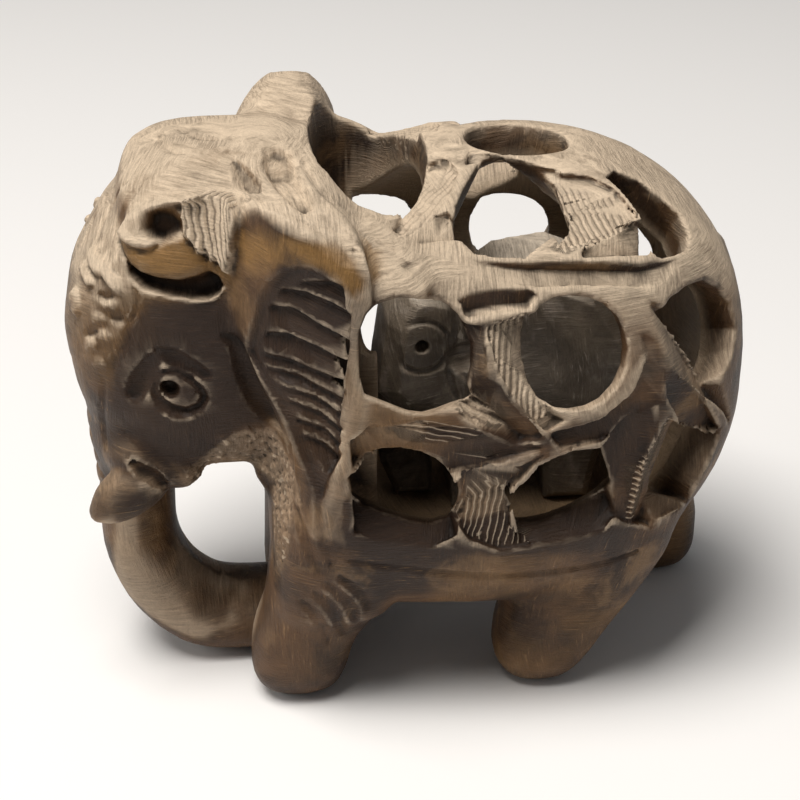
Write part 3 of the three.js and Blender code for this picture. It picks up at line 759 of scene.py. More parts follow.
# Facets chiselled into the left side: corners, under the skin where they are cut deep
FACETS = {
    "beam_under": tenths(
        27, -255, 645, 46, -251, 653, 78, -250, 657, 116, -251, 655, 123, -253, 648, 112, -248, 636, 86, -246, 635, 54,
        -248, 631, 34, -254, 625),
    "bow_right": tenths(
        59, -271, 615, 114, -244, 622, 104, -255, 576, 114, -266, 531, 137, -272, 497, 155, -279, 486, 134, -291, 476,
        94, -292, 517, 75, -287, 561),
    "bow_left": tenths(59, -271, 615, 31, -253, 619, 45, -263, 582, 41, -273, 542, 57, -287, 558),
    "bow_low": tenths(
        57, -287, 558, 75, -289, 544, 121, -292, 487, 134, -291, 470, 105, -273, 462, 74, -266, 491, 49, -264, 516, 41,
        -273, 542),
    "wedge": tenths(23, -271, 511, 49, -264, 516, 83, -273, 479, 89, -291, 477, 51, -292, 487, 28, -288, 503),
    "beam_low": tenths(
        -110, -274, 438, -81, -272, 458, -23, -270, 452, 16, -270, 419, 78, -291, 436, 134, -293, 455, 51, -293, 484,
        -25, -289, 501, -89, -293, 499, -114, -294, 480),
    "scoop_front": tenths(
        -118, -252, 375, -85, -245, 354, -45, -239, 336, 20, -246, 333, 26, -283, 326, -10, -279, 306, -56, -276, 307,
        -108, -278, 336),
    "scoop_middle": tenths(
        95, -247, 328, 152, -243, 327, 228, -238, 351, 238, -264, 332, 217, -273, 307, 149, -281, 302, 108, -285, 314),
    "scoop_rear": tenths(288, -227, 349, 339, -186, 338, 337, -221, 314, 295, -253, 314, 262, -259, 320),
    "fan": tenths(
        24, -266, 342, 55, -279, 378, 92, -274, 396, 93, -261, 333, 122, -281, 303, 82, -281, 298, 42, -283, 317),
    "low_dark": tenths(
        23, -268, 409, 40, -288, 430, 103, -292, 429, 135, -292, 447, 92, -274, 396, 55, -279, 378, 24, -266, 342, 29,
        -266, 383),
    "rear_bevel": tenths(
        302, -257, 469, 315, -226, 448, 291, -232, 370, 278, -241, 306, 256, -264, 320, 266, -271, 402),
    "rear_dark": tenths(
        208, -265, 446, 260, -272, 498, 288, -262, 498, 283, -265, 456, 266, -271, 402, 256, -263, 319, 232, -260, 334,
        229, -256, 379),
    "rear_left": tenths(
        257, -257, 589, 278, -254, 580, 290, -257, 546, 288, -262, 498, 209, -277, 455, 156, -285, 448, 139, -288, 474,
        206, -281, 487, 249, -269, 518, 265, -261, 556),
    "spur_low": tenths(
        291, -257, 542, 305, -248, 531, 351, -218, 480, 384, -176, 413, 357, -194, 420, 315, -228, 450, 300, -257, 495),
    "spur_up": tenths(
        258, -241, 631, 283, -230, 608, 329, -218, 554, 362, -195, 485, 402, -151, 398, 351, -223, 482, 304, -252, 534,
        278, -254, 580),
    "paddle": tenths(
        167, -99, 745, 217, -100, 743, 244, -114, 730, 258, -134, 716, 270, -152, 700, 216, -192, 702, 186, -204, 689,
        159, -204, 679, 153, -192, 686, 179, -167, 700, 175, -142, 721),
    "paddle_low": tenths(
        216, -192, 702, 270, -152, 700, 273, -168, 682, 271, -182, 663, 179, -212, 677, 189, -206, 690),
    "saddle": tenths(
        13, -61, 746, 34, -51, 760, 45, -94, 756, 33, -131, 746, 23, -165, 729, -7, -175, 721, -34, -193, 712, -51,
        -202, 716, -23, -130, 724, -2, -100, 733),
    "saddle_low": tenths(-21, -176, 719, 23, -167, 729, 30, -175, 711, 32, -191, 693, 10, -197, 702, -19, -206, 703),
    "ring_side": tenths(
        69, -33, 763, 105, -63, 762, 159, -91, 756, 178, -97, 752, 169, -110, 732, 153, -91, 736, 106, -60, 742, 82,
        -58, 742, 59, -70, 748),
    "beam_face": tenths(
        -46, -246, 695, 31, -226, 686, 118, -233, 681, 262, -217, 667, 337, -177, 652, 275, -224, 636, 193, -242, 653,
        129, -247, 656, 42, -243, 660, -22, -255, 671),
}

# Raised and sunk areas of the left side: outline, lift and width of the slope
RELIEFS = {
    "fringe_one": (tenths(
        -425, -80, 672, -419, -102, 664, -407, -122, 662, -402, -132, 652, -395, -141, 647, -390, -151, 629, -398, -145,
        631, -407, -136, 637, -413, -126, 645, -423, -116, 643, -429, -103, 647, -432, -88, 654), 0.8, 0.5),
    "fringe_two": (tenths(
        -438, -83, 647, -434, -101, 641, -427, -119, 631, -433, -116, 624, -441, -97, 631, -445, -78, 637), 0.7, 0.5),
    "fringe_three": (tenths(
        -453, -87, 613, -448, -103, 603, -449, -108, 585, -455, -99, 578, -461, -81, 588, -460, -75, 602), 0.6, 0.5),
    "slot": (tenths(
        -381, -141, 667, -366, -153, 658, -344, -162, 653, -319, -167, 651, -294, -168, 656, -281, -168, 662, -271,
        -169, 656, -265, -171, 645, -270, -171, 633, -284, -172, 627, -305, -171, 629, -336, -167, 634, -365, -158, 641,
        -379, -148, 654), -2.8, 0.7),
    "roll": (tenths(
        -387, -114, 702, -385, -127, 686, -378, -140, 674, -364, -152, 663, -341, -162, 656, -319, -166, 653, -296,
        -167, 658, -282, -166, 672, -289, -162, 694, -306, -156, 712, -323, -154, 708, -339, -152, 696, -357, -146, 689,
        -372, -135, 693), 1.2, 2.6),
    "curl": (tenths(
        -276, -137, 752, -311, -137, 750, -339, -135, 747, -362, -132, 737, -378, -122, 721, -387, -114, 702,
        -385, -122, 694, -376, -133, 690, -362, -144, 688, -349, -150, 689, -339, -152, 696, -335, -153, 701,
        -349, -148, 703, -356, -144, 710, -355, -142, 722, -347, -141, 734, -329, -142, 741, -299, -143, 744,
        -276, -142, 747), 1.4, 0.7),
    "curl_hollow": (tenths(
        -349, -141, 732, -337, -143, 737, -322, -147, 733, -313, -151, 724, -313, -155, 712, -323, -154, 707, -335,
        -153, 701, -346, -149, 704, -352, -145, 715), -1.5, 1.2),
    "tuft": (tenths(
        -291, -137, 751, -267, -131, 757, -241, -140, 757, -237, -175, 753, -240, -194, 734, -245, -191, 700, -248,
        -187, 682, -252, -181, 663, -258, -173, 666, -262, -167, 680, -273, -166, 674, -276, -163, 690, -286, -164, 684,
        -291, -160, 700, -301, -158, 707, -305, -154, 719, -307, -149, 731, -304, -144, 742), 1.7, 0.6),
    "eye_bed": (tenths(
        -364, -165, 493, -357, -169, 514, -346, -171, 528, -328, -173, 528, -308, -174, 516, -294, -173, 497, -289,
        -172, 483, -300, -170, 467, -319, -168, 459, -337, -167, 464, -353, -166, 476), -1.1, 0.8),
    "eye_ball": (tenths(
        -353, -168, 498, -348, -170, 518, -339, -172, 524, -322, -173, 518, -306, -173, 505, -297, -172, 490, -302,
        -171, 476, -318, -169, 469, -335, -168, 474, -347, -167, 484), 0.9, 0.9),
    "ear_hollow": (tenths(
        -173, -258, 699, -189, -246, 689, -203, -236, 673, -213, -227, 649, -222, -216, 617, -231, -208, 589, -236,
        -191, 559, -225, -208, 538, -205, -231, 512, -190, -245, 487, -180, -253, 454, -167, -264, 423, -152, -280, 387,
        -142, -285, 422, -136, -288, 457, -131, -291, 493, -127, -292, 529, -123, -294, 564, -119, -296, 599, -116,
        -297, 633, -119, -294, 658, -127, -289, 679, -141, -280, 694, -158, -269, 701), -0.8, 0.9),
    "leaf_one": (tenths(
        -245, -77, 781, -234, -90, 778, -222, -115, 773, -213, -152, 772, -213, -184, 772, -224, -168, 767, -234, -136,
        763, -242, -111, 770), -1.0, 0.9),
    "leaf_two": (tenths(
        -199, -54, 783, -186, -47, 783, -172, -55, 780, -168, -87, 775, -163, -149, 778, -154, -200, 776, -151, -226,
        767, -161, -229, 766, -175, -214, 772, -187, -194, 778, -197, -141, 777, -202, -88, 779), -1.5, 1.4),
}

# Carved lines of the left side: the line, its width and its lift
GROOVES = {
    "bump_one": (tenths(-418, -138, 608, -407, -145, 613, -400, -150, 607), 1.6, 0.45),
    "bump_two": (tenths(-433, -129, 582, -425, -135, 590, -414, -144, 588), 1.6, 0.45),
    "bump_three": (tenths(-427, -139, 561, -418, -144, 569, -408, -151, 566), 1.6, 0.45),
    "bump_four": (tenths(-444, -124, 543, -435, -133, 553, -428, -140, 547), 1.6, 0.45),
    "bump_five": (tenths(-435, -132, 521, -426, -140, 530, -419, -146, 527), 1.5, 0.45),
    "dent_one": (tenths(-422, -130, 622, -412, -140, 617, -404, -144, 624), 1.4, -0.6),
    "dent_two": (tenths(-409, -147, 595, -398, -153, 594, -390, -156, 601), 1.4, -0.7),
    "dent_three": (tenths(-445, -120, 561, -434, -131, 566, -426, -137, 574), 1.2, -0.5),
    "chin_line": (tenths(-422, -141, 510, -427, -130, 470, -432, -103, 418, -430, -107, 379), 1.2, -0.6),
    "slot_lip": (tenths(
        -370, -156, 643, -342, -166, 636, -305, -171, 627, -280, -172, 626, -264, -172, 638, -263, -171,
        649), 0.9, 0.7),
    "brow_front": (tenths(-392, -155, 482, -380, -161, 499, -365, -168, 526, -352, -171, 552), 3.4, -2.2),
    "brow": (tenths(-356, -170, 555, -342, -173, 550, -330, -174, 544, -310, -175, 532, -283, -174, 516), 3.0, -2.3),
    "lid": (tenths(
        -364, -165, 493, -354, -165, 476, -339, -166, 464, -321, -168, 461, -303, -170, 470, -292, -172,
        487), 1.2, -0.6),
    "lid_light": (tenths(-352, -164, 465, -330, -166, 454, -306, -168, 457), 1.0, 0.4),
    "ear_groove": (tenths(
        -268, -175, 578, -252, -176, 566, -244, -177, 547, -235, -173, 510, -221, -170, 476, -202, -176, 449, -192,
        -232, 448, -185, -228, 404, -177, -259, 369), 3.0, -1.5),
    "ear_groove_top": (tenths(-230, -208, 570, -224, -214, 600, -216, -224, 638, -203, -236, 674), 1.6, -0.8),
    "neck_band_one": (tenths(
        -236, -154, 757, -211, -214, 770, -184, -230, 765, -161, -243, 755, -141, -257, 744, -123, -271, 728, -108,
        -284, 709), 1.0, -0.5),
    "neck_band_two": (tenths(
        -211, -207, 773, -180, -221, 769, -152, -238, 759, -129, -254, 747, -107, -271, 727, -85, -267,
        695), 0.9, -0.4),
    "neck_band_three": (tenths(
        -155, -47, 776, -153, -96, 773, -142, -164, 774, -126, -212, 766, -102, -223, 743, -73, -225, 720, -45, -233,
        706), 1.1, -0.5),
    "neck_groove": (tenths(-152, -234, 763, -126, -250, 750, -99, -266, 732, -61, -246, 698), 0.9, -0.5),
    "cap_line": (tenths(-336, 36, 778, -332, -9, 779, -320, -46, 781, -304, -60, 781), 1.4, -0.6),
    "cap_line_two": (tenths(-315, 45, 781, -286, 0, 781, -258, -11, 781), 1.0, -0.3),
    "ribbon_edge": (tenths(
        -348, -90, 767, -366, -108, 753, -383, -110, 730, -392, -107, 699, -388, -129, 680, -376, -145,
        667), 1.4, -0.8),
    "ribbon_mid": (tenths(-374, -78, 755, -401, -51, 712, -420, -75, 681, -429, -96, 652), 1.0, -0.5),
    "ribbon_front": (tenths(-393, -13, 735, -427, -9, 683, -448, -38, 646), 1.0, -0.4),
    "scallop_one": (tenths(-375, -155, 639, -372, -160, 621, -377, -161, 603, -388, -158, 590), 1.0, -0.8),
    "scallop_two": (tenths(-388, -158, 590, -387, -160, 574, -394, -158, 559, -402, -155, 552), 1.0, -0.8),
    "scallop_three": (tenths(-402, -155, 552, -407, -153, 535, -414, -148, 519), 1.0, -0.7),
    "rim_crease": (tenths(
        -121, -272, 290, -75, -270, 276, -8, -268, 262, 59, -268, 251, 140, -265, 247, 224, -252, 249, 279, -247,
        265), 1.6, -0.8),
    "flute_one": (tenths(-180, -244, 214, -157, -240, 177, -139, -213, 117), 1.8, -0.7),
    "flute_two": (tenths(-164, -254, 235, -135, -245, 192, -120, -213, 131), 1.8, -0.7),
    "flute_three": (tenths(-148, -260, 250, -116, -249, 207, -105, -234, 167), 1.8, -0.7),
    "flute_four": (tenths(-130, -264, 261, -98, -253, 221, -89, -241, 190), 1.8, -0.7),
    "shoulder_one": (tenths(-182, -250, 364, -172, -268, 321, -156, -262, 263), 1.6, -0.6),
    "shoulder_two": (tenths(-155, -278, 379, -151, -279, 334, -138, -267, 276), 1.4, -0.5),
}

# Crests of the ear ribs, from the top down
RIBS = (
    tenths(-170, -260, 679, -144, -279, 680, -126, -290, 675),
    tenths(-196, -241, 663, -170, -260, 659, -145, -278, 653, -117, -296, 643),
    tenths(-211, -228, 636, -186, -248, 634, -157, -270, 620, -116, -297, 605),
    tenths(-217, -221, 596, -193, -242, 596, -158, -269, 587, -120, -296, 576),
    tenths(-224, -214, 564, -191, -244, 557, -160, -268, 552, -125, -293, 547),
    tenths(-216, -222, 545, -185, -249, 537, -155, -271, 526, -128, -292, 520),
    tenths(-199, -238, 525, -168, -262, 514, -133, -289, 502),
    tenths(-191, -244, 509, -160, -268, 494, -134, -290, 478),
    tenths(-183, -250, 486, -160, -268, 473, -138, -287, 459),
    tenths(-177, -255, 465, -158, -270, 451, -140, -286, 438),
    tenths(-170, -260, 443, -156, -273, 431, -144, -284, 418),
)

# Areas of the left side that are rubbed smooth and brown
POLISHED = {
    "ear_top": tenths(
        -239, -198, 727, -203, -234, 737, -162, -261, 735, -128, -267, 732, -105, -281, 715, -93, -291, 690, -104, -295,
        677, -116, -292, 683, -128, -286, 692, -140, -279, 705, -169, -261, 709, -198, -238, 700, -221, -219, 683, -238,
        -201, 687, -243, -193, 707),
    "roll": tenths(
        -387, -120, 693, -377, -134, 687, -358, -146, 686, -335, -153, 697, -306, -157, 707, -284, -164, 682, -253,
        -179, 662, -259, -173, 650, -281, -167, 664, -316, -166, 657, -354, -157, 659, -378, -141, 671),
}

# Areas of the left side that are freshly scraped, and two painted as light: the trunk's lower end and a window's rim
PALE = {
    # painted light: the trunk's lower end is paler where light bounces up from the floor
    "trunk": tenths(
        -444, -139, 292, -426, -152, 305, -396, -83, 216, -357, -69, 160, -309, -38, 120, -251, -15, 105, -229, -134,
        145, -245, -136, 81, -320, -81, 48, -390, -69, 89, -438, -34, 129),
    "crescent": tenths(
        -381, -119, 718, -371, -126, 734, -353, -133, 744, -330, -135, 749, -305, -135, 752, -280, -135, 754, -304,
        -141, 745, -330, -141, 741, -347, -141, 735, -354, -143, 722, -351, -146, 708, -335, -153, 700, -349, -150, 689,
        -365, -142, 690, -377, -130, 694, -384, -118, 703),
    "rim_edge": tenths(
        -87, -236, 718, -64, -246, 699, -85, -294, 670, -98, -302, 614, -106, -302, 540, -117, -299, 468, -127, -291,
        392, -140, -277, 325, -150, -281, 358, -137, -289, 435, -121, -296, 524, -110, -300, 607, -102, -298, 659, -89,
        -291, 687),
    # painted light: the lower rim of the upper middle window, which faces the lamp, is painted pale
    "window_edge": tenths(
        102, -291, 554, 119, -294, 529, 142, -295, 511, 169, -294, 501, 196, -290, 503, 217, -286, 511, 235, -280, 530,
        251, -272, 554, 267, -264, 568, 264, -270, 544, 247, -278, 517, 220, -286, 497, 191, -291, 487, 160, -295, 488,
        132, -296, 501, 110, -295, 524),
}

# Areas of the left side painted in shade: under the beam, the ear's hollow, the scoops, the low strut and the cheek
DARK = {
    "beam": tenths(
        -19, -292, 496, 37, -295, 489, 101, -297, 469, 134, -296, 457, 77, -297, 437, 19, -294, 429, -2, -293, 456, -19,
        -292, 473),
    "ear_hollow": tenths(
        -173, -258, 702, -189, -246, 692, -205, -234, 673, -216, -225, 648, -226, -212, 616, -234, -204, 587, -245,
        -177, 553, -233, -174, 518, -211, -174, 480, -196, -238, 483, -185, -247, 452, -172, -260, 418, -155, -278, 379,
        -139, -287, 420, -133, -291, 458, -126, -294, 495, -122, -295, 530, -118, -297, 565, -115, -298, 600, -112,
        -298, 633, -115, -295, 661, -124, -289, 681, -140, -280, 698, -157, -269, 705),
    "scoops": tenths(
        -121, -290, 391, -89, -287, 376, -50, -287, 361, 14, -290, 353, 41, -290, 336, 87, -293, 347, 142, -292, 351,
        218, -285, 377, 249, -272, 336, 273, -261, 313, 219, -267, 284, 136, -280, 284, 43, -281, 291, -49, -274, 293,
        -115, -277, 311),
    "low_strut": tenths(
        77, -297, 439, 134, -296, 457, 202, -290, 460, 222, -285, 396, 254, -269, 326, 265, -274, 404, 282, -268, 458,
        287, -266, 497, 259, -276, 500, 205, -289, 491, 133, -297, 473, 83, -297, 453),
    "cheek": tenths(
        -356, -164, 625, -261, -174, 618, -232, -206, 576, -219, -210, 521, -193, -240, 470, -220, -163, 437, -259,
        -162, 432, -298, -145, 392, -329, -138, 363, -370, -143, 391, -401, -134, 426, -417, -139, 473, -406, -154, 538,
        -383, -160, 590),
}

# Areas of the left side that are pecked with a point
PECKED = {
    "jaw_edge": tenths(
        -331, -131, 334, -319, -135, 363, -298, -145, 392, -276, -157, 416, -257, -162, 431, -236, -163, 436, -215,
        -163, 435, -198, -182, 427, -187, -220, 412, -184, -240, 366, -191, -253, 314, -203, -231, 246, -212, -199, 251,
        -211, -189, 308, -208, -160, 349, -225, -142, 362, -251, -121, 364, -281, -101, 349, -303, -115, 339, -315,
        -122, 326),
}

# The drilled pupil of the left eye
PUPIL = (-33.9, -17.0, 49.8)
PUPIL_RADII = (1.35, 2.6, 1.35)

# Areas of tool marks on the left side: the outline, then two points across the grooves
MARKS = {
    "saw_bow": tenths(
        58, -273, 616, 110, -266, 632, 99, -283, 589, 109, -292, 544, 132, -295, 510, 142, -296, 495, 126, -297, 489,
        94, -295, 525, 75, -289, 562, 58, -282, 590, 105, -284, 586),
    "saw_paddle": tenths(
        165, -113, 753, 215, -109, 747, 241, -126, 735, 254, -148, 723, 266, -169, 707, 215, -197, 704, 184, -216, 694,
        154, -226, 689, 148, -219, 697, 173, -196, 713, 170, -165, 733, 164, -180, 725, 254, -148, 723),
    "saw_saddle": tenths(
        -43, -223, 711, -52, -212, 720, -26, -151, 735, 10, -81, 758, 33, -57, 762, 45, -97, 757, 32, -134, 747, 12,
        -172, 728, -8, -183, 720, -29, -150, 735, 21, -186, 720),
    "saw_fan": tenths(
        21, -291, 356, 52, -295, 388, 88, -297, 409, 87, -293, 350, 121, -286, 306, 82, -284, 300, 41, -287, 320, 30,
        -292, 361, 99, -293, 350),
    "saw_tuft": tenths(
        -291, -137, 751, -267, -131, 757, -241, -140, 757, -237, -175, 753, -245, -191, 700, -252, -181, 663, -273,
        -166, 674, -286, -164, 684, -301, -158, 707, -307, -149, 731, -300, -149, 732, -238, -186, 750),
    "saw_wedge": tenths(
        20, -292, 522, 45, -293, 531, 79, -296, 492, 88, -297, 480, 50, -296, 489, 27, -294, 506, 37, -295, 486, 62,
        -294, 526),
    "saw_beam": tenths(
        -112, -301, 483, -26, -293, 502, 50, -296, 486, 77, -297, 439, 13, -294, 432, -25, -292, 464, -83, -295, 470,
        -26, -293, 505, -36, -293, 461),
    "saw_rear": tenths(
        301, -260, 471, 314, -254, 458, 283, -266, 389, 272, -263, 318, 255, -268, 322, 265, -274, 404, 282, -268, 458,
        266, -273, 388),
}


@dataclass(frozen=True)
class Side:
    """One side of the elephant: left as drawn, right as its mirror image."""

    right: bool = False

    def points(self, points: Sequence[Sequence[float]], slide: float = 0.0) -> list[tuple[float, ...]]:
        """The drawn points on this side.

        Args:
            points: Points of the left side.
            slide: Degrees by which the right side's lie further down round the body.

        Returns:
            The points, mirrored for the right side.
        """
        if not self.right:
            return [tuple(p) for p in points]
        turned = flipped(points)
        if not slide:
            return turned
        c, s = math.cos(math.radians(slide)), math.sin(math.radians(slide))
        return [(x, y * c + (z - BODY.middle) * s, BODY.middle + (z - BODY.middle) * c - y * s, *rest)
                for x, y, z, *rest in turned]

    @property
    def sign(self) -> float:
        """-1 on the left, 1 on the right."""
        return 1.0 if self.right else -1.0


@dataclass
class OuterCarving:
    """The outer elephant: one stone, hollowed and pierced.

    Attributes:
        step: Spacing of the grid that it is carved on, in millimetres.
        undercut: How much wider a window is inside than outside, as a share.
        rib_crest: How far the crests of the ear ribs lie under the ear's rim.
        rib_depth: How deep the cut under each crest goes.
        notches: How many notches cross the front of the trunk.
        top_notch: Height of the highest one.
        notch_pitch: Distance between them.
        notch_reach: How far they reach to each side.
        notch_width: Their width.
        notch_depth: Their depth.
        leg_reach: How far the legs reach out from the middle.
        low: Lowest corner of the block.
        high: Its highest corner.
        sides: The two sides.
    """

    step: float = 0.4
    undercut: float = 0.22
    rib_crest: float = 0.9
    rib_depth: float = 2.7
    notches: int = 9
    top_notch: float = 50.0
    notch_pitch: float = 3.1
    notch_reach: float = 6.0
    notch_width: float = 1.7
    notch_depth: float = 1.0
    leg_reach: float = 20.4
    low: Point = (-50.0, -33.0, -2.0)
    high: Point = (48.5, 33.0, 82.0)
    sides: tuple[Side, ...] = (Side(), Side(right=True))

    def carve(self) -> Clay:
        """Carves the whole stone.

        Returns:
            The carved block.
        """
        clay = Clay(self.low, self.high, self.step)
        self.block_out(clay)
        for side in self.sides:
            self.block_out_side(clay, side)
        clay.cut(lambda x, y, z: np.maximum(np.maximum(BODY.skin(x, y, z, BODY.wall), BODY.cavity_front - x),
                                            BODY.cavity_floor - z))
        for side in self.sides:
            self.pierce(clay, side)
            self.cut_facets(clay, side)
            self.carve_face(clay, side)
            self.carve_ear(clay, side)
        self.open_spine(clay)
        self.clear_front(clay)
        self.notch_trunk(clay)
        log.info("outer elephant carved on a grid of %s", clay.field.shape)
        return clay

    def block_out(self, clay: Clay) -> None:
        """Roughs out the body, head, jaw, trunk, chest, neck and tail.

        Args:
            clay: The block.
        """
        clay.add(lambda x, y, z: np.maximum(BODY.skin(x, y, z), BODY.front - x))
        clay.add(tower(HEAD_ROWS, 2.7, 1.2), blend=2.5)
        clay.add(*rod(TRUNK_LINE, flat=0.64), 2.5)
        clay.add(*ball(*JAW), 2.5)
        clay.add(*rod(TAIL_LINE), 0.8)
        for line in OPENING_CORNERS:
            clay.add(*rod(line), 1.5)
        for rows, power, blend in ((CHEST_ROWS, 2.6, 2.5), (NECK_ROWS, 2.6, 2.5), (CAP_ROWS, 4.0, 1.4)):
            self.add_tower(clay, rows, power, blend)

    def block_out_side(self, clay: Clay, side: Side) -> None:
        """Roughs out one side's tusk, legs and ear.

        Args:
            clay: The block.
            side: The side.
        """
        clay.add(*rod(side.points(TUSK_LINE)), 0.8)
        for spans, inner in LEG_SPANS[side.right]:
            rows = []
            for (height, out, back), span in zip(LEG_LEVELS, spans):
                near, far = inner + back, self.leg_reach + out
                rows.append((height, span, (near, far) if side.right else (-far, -near)))
            self.add_tower(clay, rows, 2.5, 2.0)
        self.add_tower(clay, [(z, x, (-y[1], -y[0]) if side.right else y) for z, x, y in EAR_BACK_ROWS], 3.0, 2.0)
        edge, profile = (FAR_EAR_OUTLINE, FAR_EAR_FRONT) if side.right else (EAR_OUTLINE, EAR_FRONT)
        outline, plan = smooth_line(edge, 44, True), smooth_line(EAR_PLAN, 26, True)

        def ear(x: Array, y: Array, z: Array) -> Array:
            """The ear: its outlines from the side, from above and from the front."""
            away = -side.sign * y
            front = polygon_distance(-away, z, profile)
            leaf = np.maximum(polygon_distance(x, z, outline), front)
            return -smooth_min(-leaf, -polygon_distance(x, away, plan), 1.6)
        corners = np.array(side.points(EAR_BOX))
        clay.add(ear, (corners.min(axis=0), corners.max(axis=0)), 1.8, scaled=False)

    @staticmethod
    def add_tower(clay: Clay, rows: Sequence[tuple[float, Flat, Flat]], power: float, blend: float) -> None:
        """Joins a form given by level sections, working only near it.

        Args:
            clay: The block.
            rows: The level sections, from the lowest up.
            power: Squareness of the sections.
            blend: Fillet in millimetres.
        """
        low = np.array([min(r[1][0] for r in rows), min(r[2][0] for r in rows), rows[0][0]]) - 5.0
        high = np.array([max(r[1][1] for r in rows), max(r[2][1] for r in rows), rows[-1][0]]) + 5.0
        clay.add(tower(rows, power, 1.2), (low, high), blend)

    def pierce(self, clay: Clay, side: Side) -> None:
        """Cuts one side's windows through the wall, wider inside than outside.

        Args:
            clay: The block.
            side: The side.
        """
        for name, outline in WINDOWS.items():
            patch = Patch(side.points(outline, SLIDES.get(name, 0.0)))
            flare = 0.12 if name in ("upper_front", "upper_rear") else 0.0
            self.cut_window(clay, patch, flare, -0.1 if side.right else self.undercut)

    def cut_window(self, clay: Clay, patch: Patch, flare: float, undercut: float) -> None:
        """Cuts one window.

        Args:
            clay: The block.
            patch: The window's outline on the skin.
            flare: How much wider its outer edge is bevelled, as a share.
            undercut: How much wider it is inside, as a share.
        """
        middle, u, v, out = patch.frame()
        corners = np.asarray(patch.outline, dtype=float) - middle
        flat = [(float(c @ u), float(c @ v)) for c in corners]
        depth = BODY.wall + 4.5

        def shape(x: Array, y: Array, z: Array) -> Array:
            """The hole."""
            dx, dy, dz = x - middle[0], y - middle[1], z - middle[2]
            height = dx * out[0] + dy * out[1] + dz * out[2]
            grow = (1.0 + undercut * smooth_step((-height - 1.5) / 5.0)
                    + flare * smooth_step((height + 1.2) / 3.0))
            across = polygon_distance((dx * u[0] + dy * u[1] + dz * u[2]) / grow,
                                      (dx * v[0] + dy * v[1] + dz * v[2]) / grow, flat) * grow
            return np.maximum(np.maximum(across, -height - depth), height - 6.0)
        clay.cut(shape, patch.box(7.0, depth), 0.35, scaled=False)

    def cut_facets(self, clay: Clay, side: Side) -> None:
        """Chisels the facets of the struts between one side's windows.

        Args:
            clay: The block.
            side: The side.
        """
        for name, outline in FACETS.items():
            clay.chisel(Patch(side.points(outline, SLIDES.get(name, 0.0))), 0.3)

    def carve_face(self, clay: Clay, side: Side) -> None:
        """Carves one side's headdress, eye, mouth, neck bands and leg flutes.

        Args:
            clay: The block.
            side: The side.
        """
        for name, (outline, lift, edge) in RELIEFS.items():
            if not (side.right and name in LEFT_ONLY):
                clay.relief(Patch(side.points(outline, SLIDES.get(name, 0.0))), lift, edge)
        for name, (points, width, lift) in GROOVES.items():
            if not (side.right and name in LEFT_ONLY):
                clay.line(side.points(points, SLIDES.get(name, 0.0)), width, lift)
        clay.cut(*ball(side.points([PUPIL])[0], PUPIL_RADII), 0.2)
        for fold, width, lift in MOUTH_FOLDS:
            clay.line(side.points(fold), width, lift)

    def carve_ear(self, clay: Clay, side: Side) -> None:
        """Cuts the stepped facets between the ribs of one ear, deepest under each crest.

        Args:
            clay: The block.
            side: The side.
        """
        for upper, lower in zip(RIBS[:-1], RIBS[1:]):
            deep = [self.sunk(upper[:1], 0.4 * self.rib_depth)[0], *self.sunk(upper[1:], self.rib_depth)]
            shallow = [self.sunk(lower[:1], 0.0)[0], *self.sunk(lower[1:], self.rib_crest)]
            clay.chisel(Patch(side.points([*deep, *shallow[::-1]])), 0.15)

    @staticmethod
    def sunk(points: Sequence[Point], depth: float) -> list[Point]:
        """Points of the left ear's face, moved in behind it by a depth."""
        return [(x + 0.55 * depth, y + 0.83 * depth, z) for x, y, z in points]

    def open_spine(self, clay: Clay) -> None:
        """Cuts the two openings across the spine.

        Args:
            clay: The block.
        """
        for rows in (SHOULDER_OPENING, SADDLE_OPENING):
            low = np.array([min(r[1][0] for r in rows), min(r[2][0] for r in rows), 60.0]) - 4.0
            high = np.array([max(r[1][1] for r in rows), max(r[2][1] for r in rows), 80.0]) + 4.0
            clay.cut(tower(rows, 2.2, 1.0), (low, high), 0.4)

    def clear_front(self, clay: Clay) -> None:
        """Hollows the front of the cavity, so that light shows through both walls beside the small elephant.

        Args:
            clay: The block.
        """
        for share in np.linspace(0.0, 1.0, 12):
            middle = np.array(LIGHT_START) + np.array(LIGHT_RUN) * share
            clay.cut(*ball(tuple(middle), LIGHT_RADII), 0.3)

    def notch_trunk(self, clay: Clay) -> None:
        """Cuts the cross notches down the front of the trunk.

        Args:
            clay: The block.
        """
        for i in range(self.notches):
            z = self.top_notch - self.notch_pitch * i
            across = np.linspace(-self.notch_reach, self.notch_reach, 7)
            fronts = [clay.front_at(float(y), z) for y in across]
            clay.line([(x, float(y), z) for x, y in zip(fronts, across)], self.notch_width,
                      -self.notch_depth)


